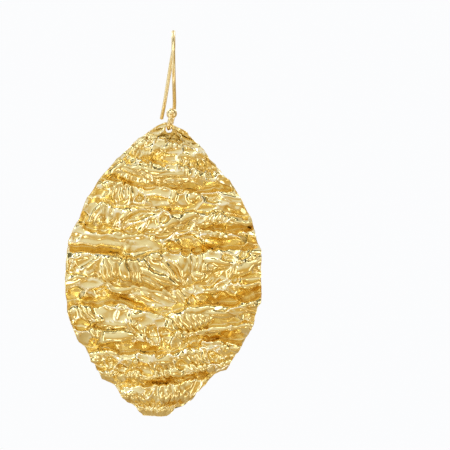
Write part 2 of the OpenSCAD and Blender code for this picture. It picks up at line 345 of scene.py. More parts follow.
# columns: length or bend radius, angle turned (0 is straight), twist before the stretch
FRONT_WIRE = [
    (5.4, 66, 1),
    (9.5, 27, 0),
    (7.0, 41, 0),
    (3.9, 0, 0),
    (7.3, -38, 22),
    (1.62, -214, -6),
]
REAR_WIRE = [
    (5.1, 63, 0),
    (8.0, 10, 90),
    (8.6, 25, -90),
    (6.4, 0, 0),
    (4.5, -35, 0),
    (2.5, 0, 0),
]
# axes at the top of the bend, as columns: out of the plane, toward the inside of the bend, heading
FRONT_AXES = np.array([[-1.0, 0.0, 0.0], [0.0, 0.0, -1.0], [0.0, -1.0, 0.0]])
REAR_AXES = np.array([[1.0, 0.0, 0.0], [0.0, 0.0, 1.0], [0.0, -1.0, 0.0]])


def rotation(angle, start, end):
    """Matrix that turns the start axis toward the end axis by an angle."""
    matrix = np.eye(3)
    matrix[start, start] = matrix[end, end] = math.cos(angle)
    matrix[end, start] = math.sin(angle)
    matrix[start, end] = -math.sin(angle)
    return matrix


def walk(axes, rows):
    """Points along the stretches from the top of the bend, and the last heading.

    A straight stretch goes on along the heading. A bend of radius R through an angle a leaves the
    heading by R(1 - cos a) sideways and R sin a forward, and turns the axes by a.
    """
    place = np.array([0.0, 0.0, WIRE_RADIUS])
    points = [place[None, :]]
    for size, degrees, roll in rows:
        axes = axes @ rotation(math.radians(roll), 0, 1)
        angle = math.radians(abs(degrees))
        side = -1.0 if degrees < 0 else 1.0
        length = size * angle if degrees else size
        share = np.linspace(0.0, 1.0, max(3, int(length / STEP)))[1:]
        if degrees:
            sideways = side * size * (1 - np.cos(share * angle))
            forward = size * np.sin(share * angle)
        else:
            sideways = share * 0.0
            forward = share * size
        local = np.stack([share * 0.0, sideways, forward], axis=1)
        points.append(place + local @ axes.T)
        place = points[-1][-1]
        axes = axes @ rotation(side * angle, 2, 1)
    return np.concatenate(points), axes[:, 2]


front_path, loop_heading = walk(FRONT_AXES, FRONT_WIRE)
rear_path, tail_heading = walk(REAR_AXES, REAR_WIRE)
print("wire:", len(front_path) + len(rear_path), "places; lowest at", front_path[:, 2].min().round(3))

# %% Skin of the wire
# The ball's middle lies BALL_PAST_LOOP beyond the loop. Its outline is BALL_HALF_TURN of a half
# circle, and it swells the wire over the last NECK_STEPS places of the loop.
WIRE_SIDES = 28
BALL_RADIUS = 1.15
BALL_PAST_LOOP = 1.05
BALL_HALF_TURN = 0.86
BALL_STEPS = 26
NECK_POWER = 8
NECK_STEPS = 6
TIP_LENGTH = 0.16
TIP_STEPS = 6
LEAST_RADIUS = 0.001


def joined(ball, wire):
    """Radius of the ball and the wire together: the larger one, with a soft neck between them."""
    return (ball**NECK_POWER + wire**NECK_POWER) ** (1 / NECK_POWER)


def wire_profile():
    """Centres and radii from the tip of the ball to the tip of the tail.

    The ball's radius at a distance d from its middle is the root of R squared minus d squared.
    Raised to the NECK_POWER and added to the wire's, it meets the wire in a soft neck.
    """
    turn = np.linspace(0.0, BALL_HALF_TURN * math.pi, BALL_STEPS)
    turn = turn[BALL_PAST_LOOP + BALL_RADIUS * np.cos(turn) > 0.0]
    along = BALL_PAST_LOOP + BALL_RADIUS * np.cos(turn)
    ball = front_path[-1] + along[:, None] * loop_heading
    wire_inside = np.where(along > BALL_PAST_LOOP, 0.0, WIRE_RADIUS)
    ball_radii = joined(BALL_RADIUS * np.sin(turn), wire_inside)
    front = front_path[::-1]
    from_middle = np.linalg.norm(front - (front[0] + BALL_PAST_LOOP * loop_heading), axis=1)
    ball_there = np.sqrt(np.clip(BALL_RADIUS**2 - from_middle**2, 0.0, None))
    ball_there[NECK_STEPS:] = 0.0
    tip = np.linspace(0.0, 0.5 * math.pi, TIP_STEPS + 1)[1:]
    tip_centres = rear_path[-1] + (TIP_LENGTH * np.sin(tip))[:, None] * tail_heading
    rear_radii = np.full(len(rear_path) - 1, WIRE_RADIUS)
    centres = np.concatenate([ball, front, rear_path[1:], tip_centres])
    radii = [ball_radii, joined(ball_there, WIRE_RADIUS), rear_radii, WIRE_RADIUS * np.cos(tip)]
    return centres, np.maximum(np.concatenate(radii), LEAST_RADIUS)


def tube(centres, radii, sides):
    """A circle of each radius round each centre, square to the path, and the faces between them."""
    heading = np.gradient(centres, axis=0)
    heading /= np.linalg.norm(heading, axis=1)[:, None]
    across = np.array([1.0, 0.0, 0.0]) - heading[:, :1] * heading
    across /= np.linalg.norm(across, axis=1)[:, None]
    upward = np.cross(heading, across)
    c, s = circle(sides)
    ring = c[None, :, None] * across[:, None] + s[None, :, None] * upward[:, None]
    points = centres[:, None] + radii[:, None, None] * ring
    i = np.arange(len(centres) - 1)[:, None]
    j = np.arange(sides)[None, :]
    k = (j + 1) % sides
    corners = [i * sides + j, i * sides + k, (i + 1) * sides + k, (i + 1) * sides + j]
    return points.reshape(-1, 3), np.stack(corners, axis=-1).reshape(-1, 4)


def new_piece(name, points, faces, material, flat_faces=()):
    """A smooth mesh object from points in mm and lists of corners. It sits at the origin."""
    mesh = bpy.data.meshes.new(name)
    mesh.from_pydata((points * MM).tolist(), [], faces)
    smooth = np.ones(len(mesh.polygons), dtype=bool)
    smooth[list(flat_faces)] = False
    mesh.polygons.foreach_set("use_smooth", smooth)
    mesh.materials.append(material)
    mesh.update()
    return add_object(name, mesh)


# %% [markdown]
# ## The folded sheet
# The real drop is one sheet, pushed together from top and bottom until it folded at thirteen
# grooves. In the middle of the drop a groove is shallow and narrow, and the crest under it stands
# out as a ledge. Toward the side edges it grows deep, wide and round. Left of the middle, over the
# main groove, the sheet stays forward as a plain plate with a sharp lower edge.
#
# The sheet is a surface of two parameters: how far across it lies, and how far down its fold line.
# The outline and the fold table are the CAD model's; the curves between their rows are smooth.

# %% Outline and folds
DROP_HEIGHT = 63.1
HOLE_BELOW_TOP = 1.4
HOLE_RADIUS = 0.75
SHEET_THICKNESS = 0.38
TOP_EDGE_DEPTH = -0.5
TOP_SLOPE = 0.36
BOTTOM_EDGE_DEPTH = 2.8
# columns: height below the top, left edge, right edge, both from the hole
OUTLINE = np.array([
    (0.0, -0.8, 0.5),
    (0.8, -2.8, 1.3),
    (1.4, -3.6, 3.0),
    (2.0, -4.5, 3.9),
    (2.7, -5.4, 4.3),
    (3.3, -6.6, 4.9),
    (4.0, -7.1, 5.6),
    (4.6, -7.9, 6.3),
    (5.9, -9.1, 7.4),
    (7.2, -10.2, 8.4),
    (7.8, -10.9, 8.6),
    (9.1, -12.1, 10.0),
    (11.1, -14.0, 11.4),
    (12.4, -15.1, 13.1),
    (14.3, -16.2, 14.2),
    (16.2, -17.6, 15.5),
    (18.2, -18.4, 16.4),
    (20.7, -19.3, 17.7),
    (22.7, -20.5, 18.3),
    (25.3, -21.6, 18.9),
    (27.8, -21.9, 19.8),
    (30.4, -22.1, 19.8),
    (33.6, -22.3, 19.8),
    (36.9, -22.2, 19.9),
    (38.8, -21.9, 19.8),
    (39.5, -21.8, 19.0),
    (40.7, -21.7, 18.7),
    (43.3, -21.0, 18.3),
    (45.9, -19.9, 16.8),
    (47.2, -19.4, 15.9),
    (47.9, -18.3, 15.7),
    (49.1, -17.6, 14.9),
    (51.1, -16.4, 13.6),
    (53.0, -15.4, 12.3),
    (53.5, -15.0, 10.8),
    (54.9, -14.4, 8.8),
    (55.6, -13.3, 8.4),
    (56.2, -11.9, 7.8),
    (58.8, -10.1, 5.4),
    (60.1, -9.0, 4.1),
    (60.7, -7.5, 3.2),
    (61.2, -7.1, 1.5),
    (62.0, -6.4, 0.7),
    (63.1, -5.6, -0.6),
])
# columns: height of the groove at the left edge, left quarter, middle, right quarter and right
# edge; depth behind the groove and at the crest; distance from the groove down to the crest;
# 1 = large; share of the depth that the groove has in the middle of the drop
FOLDS = np.array([
    (2.3, 2.9, 3.4, 4.1, 4.8, 1.3, -2.0, 1.6, 1, 0.3),
    (6.3, 7.5, 8.2, 9.0, 9.8, 1.6, -3.0, 1.9, 1, 0.42),
    (11.4, 13.0, 13.8, 14.2, 14.2, 1.2, -1.9, 1.6, 0, 0.25),
    (15.4, 17.4, 18.3, 18.7, 19.5, 1.2, -3.0, 1.8, 1, 0.42),
    (21.4, 23.3, 23.8, 22.7, 23.0, 1.5, -2.0, 1.4, 0, 0.2),
    (25.9, 26.9, 27.6, 26.7, 26.0, 2.5, -3.5, 2.6, 1, 0.55),
    (31.7, 34.1, 35.6, 33.9, 33.0, -0.5, -2.2, 1.2, 0, 0.2),
    (38.0, 38.3, 40.3, 38.6, 36.8, 2.8, -3.3, 2.2, 1, 0.45),
    (43.2, 44.4, 45.3, 43.6, 42.4, 0.2, -2.5, 1.2, 0, 0.22),
    (47.8, 48.7, 49.0, 46.6, 45.9, 2.2, -2.4, 2.0, 1, 0.42),
    (52.0, 52.9, 52.9, 51.7, 50.4, 0.2, -1.4, 1.2, 0, 0.25),
    (56.0, 56.1, 56.0, 55.1, 53.6, 2.8, -0.6, 1.9, 1, 0.42),
    (60.2, 60.6, 60.8, 60.6, 60.0, 2.4, 1.2, 1.2, 0, 0.4),
])
BEHIND, CREST, CREST_BELOW, LARGE, MIDDLE_SHARE = 5, 6, 7, 8, 9
# Shape of a large and a small groove, in the middle of the drop and at its side edges. Columns:
# distance below the groove line, and place between the crest in front (-1) and the sheet behind (1)
LARGE_MIDDLE = [(-1.2, -0.3), (-0.5, 0.35), (0, 0.9), (0.3, 1), (0.5, 0.55), (0.6, -0.25), (0.85, -0.8)]
LARGE_EDGE = [(-1.7, -0.5), (-0.9, 0.35), (-0.2, 0.9), (0.35, 1), (0.85, 0.75), (1.25, 0.1), (1.6, -0.6)]
SMALL_MIDDLE = [(-0.6, 0.35), (0, 1), (0.3, 0.8), (0.5, 0), (0.75, -0.7)]
SMALL_EDGE = [(-0.9, 0.2), (0, 1), (0.4, 0.8), (0.75, 0), (0.95, -0.7)]
# Left of the middle this groove has its own shape: over it the sheet stays forward as a plate, and
# the groove's back is open to view. Its columns are those above; it fades in between these places.
PLATE_FOLD = 5
PLATE_SHAPE = [(-1.3, -0.85), (-0.15, -0.75), (0.1, 0.3), (0.5, 0.65), (1.1, 0.4), (1.5, 0), (1.8, -0.6)]
PLATE_ENDS = (-0.05, -0.3)
# Toward the side edges, with this power of the way there, a groove takes EDGE_SHARE of the depth
# and its crest loses CREST_LOST of its own and lies CREST_LOWER further down.
EDGE_POWER = 3
EDGE_SHARE = 0.8
CREST_LOST = 0.55
CREST_LOWER = 0.2
# how many rows of a large and of a small groove are still measured from the crest above it
LARGE_APPROACH = 3
SMALL_APPROACH = 2
# The rows above a groove draw closer to it where the crest above leaves less room than this, but
# keep this share of their distance.
APPROACH_ROOM = 2.4
LEAST_APPROACH = 0.3
# Rows from a crest down to the next groove and from the top edge to the first, as shares of the
# way. The depth goes with the RISER_POWER of that share.
LARGE_RISER = (0.4, 0.75)
SMALL_RISER = (0.5,)
TOP_ROWS = (0.0, 0.35, 0.7)
RISER_POWER = 2.5
# Waves along the folds. Columns: size, radians from the middle to a side edge, radians from one
# fold to the next, power of the fold's number. The first three are shares, the others mm.
CREST_WAVES = ((0.12, math.radians(150), math.radians(97), 1),)
BEHIND_WAVES = ((0.1, math.radians(120), math.radians(61), 1),)
SHARE_WAVES = ((0.4, 6.0, 2.4, 1),)
LONG_WAVES = ((0.28, 9.0, 2.1, 1), (0.2, 17.0, 1.3, 2))
FINE_WAVES = ((0.1, 37.0, 1.9, 1), (0.06, 61.0, 2.7, 1))
# The grid. Its rows are spaced by the length down the sheet, which is measured in FINE_STEPS for
# each drawn row, along one in MEASURED_COLUMNS columns, with DEPTH_WEIGHT of the depth.
COLUMNS = 200
ROWS = 384
DEPTH_WEIGHT = 0.6
FINE_STEPS = 20
MEASURED_COLUMNS = 10
# keeps every divisor above 0
TINY = 1e-9
print("drop:", len(OUTLINE), "rows of outline and", len(FOLDS), "folds")


# %% Surface of the sheet
def ramp(value, start, end):
    """The share of the way from start to end that a value has come, held between 0 and 1."""
    return np.clip((value - start) / (end - start), 0.0, 1.0)


def ease(share):
    """A share that leaves 0 and reaches 1 softly: three times its square less twice its cube."""
    return share * share * (3 - 2 * share)


def smooth_rows(table, place):
    """A smooth curve through the rows of a table: at a place between rows it is the cubic whose
    slope at each row is half the difference between the rows on either side of it."""
    ends = np.concatenate([2 * table[:1] - table[1:2], table, 2 * table[-1:] - table[-2:-1]])
    k = np.minimum(place.astype(int), len(table) - 2)
    t = (place - k)[:, None]
    a, b, c, d = ends[k], ends[k + 1], ends[k + 2], ends[k + 3]
    square, cube = 2 * a - 5 * b + 4 * c - d, 3 * b - a - 3 * c + d
    return 0.5 * (2 * b + (c - a) * t + square * t**2 + cube * t**3)


def waves(table, k, across):
    """The waves of a table along fold k, added up."""
    return sum(size * np.sin(turn * across + shift * k**power) for size, turn, shift, power in table)


def part_way(rows, others, share):
    """Rows that lie a share of the way from the first rows to the others."""
    return [(a + (c - a) * share, b + (d - b) * share) for (a, b), (c, d) in zip(rows, others)]


def between(front, back, place):
    """The depth at a place between the front (-1) and the back (1)."""
    return front + (back - front) * (1 + place) / 2


def fold_shape(fold, across):
    """The sheet at a groove, row by row down to its crest. In the middle of the drop the crest
    stands out as a ledge; toward the side edges the groove is wide and round."""
    middle, edge = (LARGE_MIDDLE, LARGE_EDGE) if fold[LARGE] else (SMALL_MIDDLE, SMALL_EDGE)
    edge_share = abs(across) ** EDGE_POWER
    rows = part_way(middle, edge, edge_share)
    if np.array_equal(fold, FOLDS[PLATE_FOLD]):
        rows = part_way(rows, PLATE_SHAPE, ramp(across, *PLATE_ENDS))
    return rows + [(fold[CREST_BELOW] + CREST_LOWER * edge_share, -1.0)]


def crest_depth(k, across):
    """Depth of crest k: it comes less far forward at the side edges and swells a little."""
    reach = (1 - CREST_LOST * abs(across) ** EDGE_POWER) * (1 + waves(CREST_WAVES, k, across))
    middle = (FOLDS[k, BEHIND] + FOLDS[k, CREST]) / 2
    return middle + (FOLDS[k, CREST] - middle) * reach


def behind_depth(k, across):
    """Depth of the sheet behind groove k: a share of the whole, and more toward the side edges."""
    deepest = FOLDS[k, BEHIND] * (1 + waves(BEHIND_WAVES, k, across))
    inner = FOLDS[k, MIDDLE_SHARE] * (1 + waves(SHARE_WAVES, k, across))
    share = inner + (EDGE_SHARE - inner) * abs(across) ** EDGE_POWER
    return crest_depth(k, across) + (deepest - crest_depth(k, across)) * share


def wander(k, across):
    """Waves of a groove line up and down, and finer ones that the crumpling puts on it. The long
    ones are calmer toward the two narrow ends of the drop."""
    calm = np.sin(np.pi * (k + 1) / (len(FOLDS) + 1)) ** 0.5
    return waves(LONG_WAVES, k, across) * calm + waves(FINE_WAVES, k, across)


def sheet_rows(across):
    """Height and depth of every drawn row of the sheet, from the top edge to the bottom edge."""
    flat = np.zeros_like(across)
    grooves = smooth_rows(FOLDS[:, :BEHIND].T, (across + 1) * 2).T
    grooves = grooves + np.array([wander(k, across) for k in range(len(FOLDS))])
    crests = grooves + FOLDS[:, CREST_BELOW : CREST_BELOW + 1]
    room = np.vstack([flat + APPROACH_ROOM, grooves[1:] - crests[:-1]])
    near = np.clip(room / APPROACH_ROOM, LEAST_APPROACH, 1.0)
    rows = []
    for share in TOP_ROWS:
        height = share * (grooves[0] + fold_shape(FOLDS[0], across)[0][0])
        rows.append((height, TOP_EDGE_DEPTH + TOP_SLOPE * height))
    for k, fold in enumerate(FOLDS):
        approach = LARGE_APPROACH if fold[LARGE] else SMALL_APPROACH
        above = crest_depth(k - 1, across) if k else TOP_EDGE_DEPTH
        for index, (below, place) in enumerate(fold_shape(fold, across)):
            front = above if index < approach else crest_depth(k, across)
            below = np.where(below < 0, below * near[k], below)
            rows.append((grooves[k] + below, between(front, behind_depth(k, across), place)))
        crest_height, crest = rows[-1]
        under_height, under, power = DROP_HEIGHT, BOTTOM_EDGE_DEPTH, 1.0
        if k < len(FOLDS) - 1:
            below, place = fold_shape(FOLDS[k + 1], across)[0]
            under_height = grooves[k + 1] + below * near[k + 1]
            under = between(crest, behind_depth(k + 1, across), place)
            power = RISER_POWER
        for share in LARGE_RISER if fold[LARGE] else SMALL_RISER:
            height = crest_height + (under_height - crest_height) * share
            rows.append((height, crest + (under - crest) * share**power))
    rows.append((under_height, under))
    return np.array([[height + flat, depth + flat] for height, depth in rows])


def even_places(drawn):
    """Places down the drawn rows at even steps of length, taken as the mean over the sheet and
    with DEPTH_WEIGHT of the depth, because a step in depth is seen foreshortened."""
    dense = np.linspace(0, len(drawn) - 1, FINE_STEPS * len(drawn))
    down, back = [smooth_rows(drawn[:, part, ::MEASURED_COLUMNS], dense) for part in (0, 1)]
    step = np.hypot(np.diff(down, axis=0), DEPTH_WEIGHT * np.diff(back, axis=0)).mean(axis=1)
    length = np.concatenate([[0.0], np.cumsum(step)])
    return np.interp(np.linspace(0, length[-1], ROWS + 1), length, dense)


across = np.linspace(-1.0, 1.0, COLUMNS + 1)
drawn_rows = sheet_rows(across)
row_place = even_places(drawn_rows)
drop_height = np.clip(smooth_rows(drawn_rows[:, 0], row_place), 0.0, DROP_HEIGHT)
drop_depth = smooth_rows(drawn_rows[:, 1], row_place)
left_edge, right_edge = [np.interp(drop_height, OUTLINE[:, 0], OUTLINE[:, side]) for side in (1, 2)]
drop_x = left_edge + (right_edge - left_edge) * (across + 1) / 2
print("sheet:", drop_x.shape, "places, rows by columns")

# %% [markdown]
# ## The round hole
# A hole is easiest in a grid by leaving out a block of its cells and easing the places round the
# block until its edge is the circle. No cell is cut, so the grid stays clean.

# %% Open the hole
# half the block's rows and columns, how far round it the places are eased, and how many times
HOLE_ROWS = 4
HOLE_COLUMNS = 18
EASE_ROWS = 8
EASE_COLUMNS = 40
EASE_TURNS = 500
NEIGHBOURS = ((-1, 0), (1, 0), (0, -1), (0, 1))


def open_hole(x, height):
    """Moves the block's edge onto the circle, and relaxes the places round it to the mean of their
    four neighbours. Returns the block as first row, last row, first column, last column."""
    row_there = np.argmin(abs(height[:, COLUMNS // 2] - HOLE_BELOW_TOP))
    middle_column = int(np.argmin(abs(x[row_there])))
    middle_row = int(np.argmin(abs(height[:, middle_column] - HOLE_BELOW_TOP)))
    middle_row += middle_row % 2
    middle_column += middle_column % 2
    top, bottom = middle_row - HOLE_ROWS, middle_row + HOLE_ROWS
    left, right = middle_column - HOLE_COLUMNS, middle_column + HOLE_COLUMNS
    rows = np.arange(1, bottom + EASE_ROWS)
    columns = np.arange(left - EASE_COLUMNS, right + EASE_COLUMNS)
    down = (np.arange(len(x)) - middle_row)[:, None] / HOLE_ROWS
    side = (np.arange(x.shape[1]) - middle_column)[None, :] / HOLE_COLUMNS
    inside = np.maximum(abs(down), abs(side)) <= 1
    angle = np.arctan2(down + 0 * side, side + 0 * down)
    x[inside] = HOLE_RADIUS * np.cos(angle[inside])
    height[inside] = HOLE_BELOW_TOP + HOLE_RADIUS * np.sin(angle[inside])
    patch = np.ix_(rows, columns)
    held = inside[patch]
    for grid in (x, height):
        for _ in range(EASE_TURNS):
            mean = sum(grid[np.ix_(rows + a, columns + b)] for a, b in NEIGHBOURS) / 4
            grid[patch] = np.where(held, grid[patch], mean)
    return top, bottom, left, right


hole_block = open_hole(drop_x, drop_height)
plain_rows = slice(0, hole_block[1] + EASE_ROWS)
drop_depth[plain_rows] = TOP_EDGE_DEPTH + TOP_SLOPE * drop_height[plain_rows]
print("hole: block of rows and columns", hole_block)
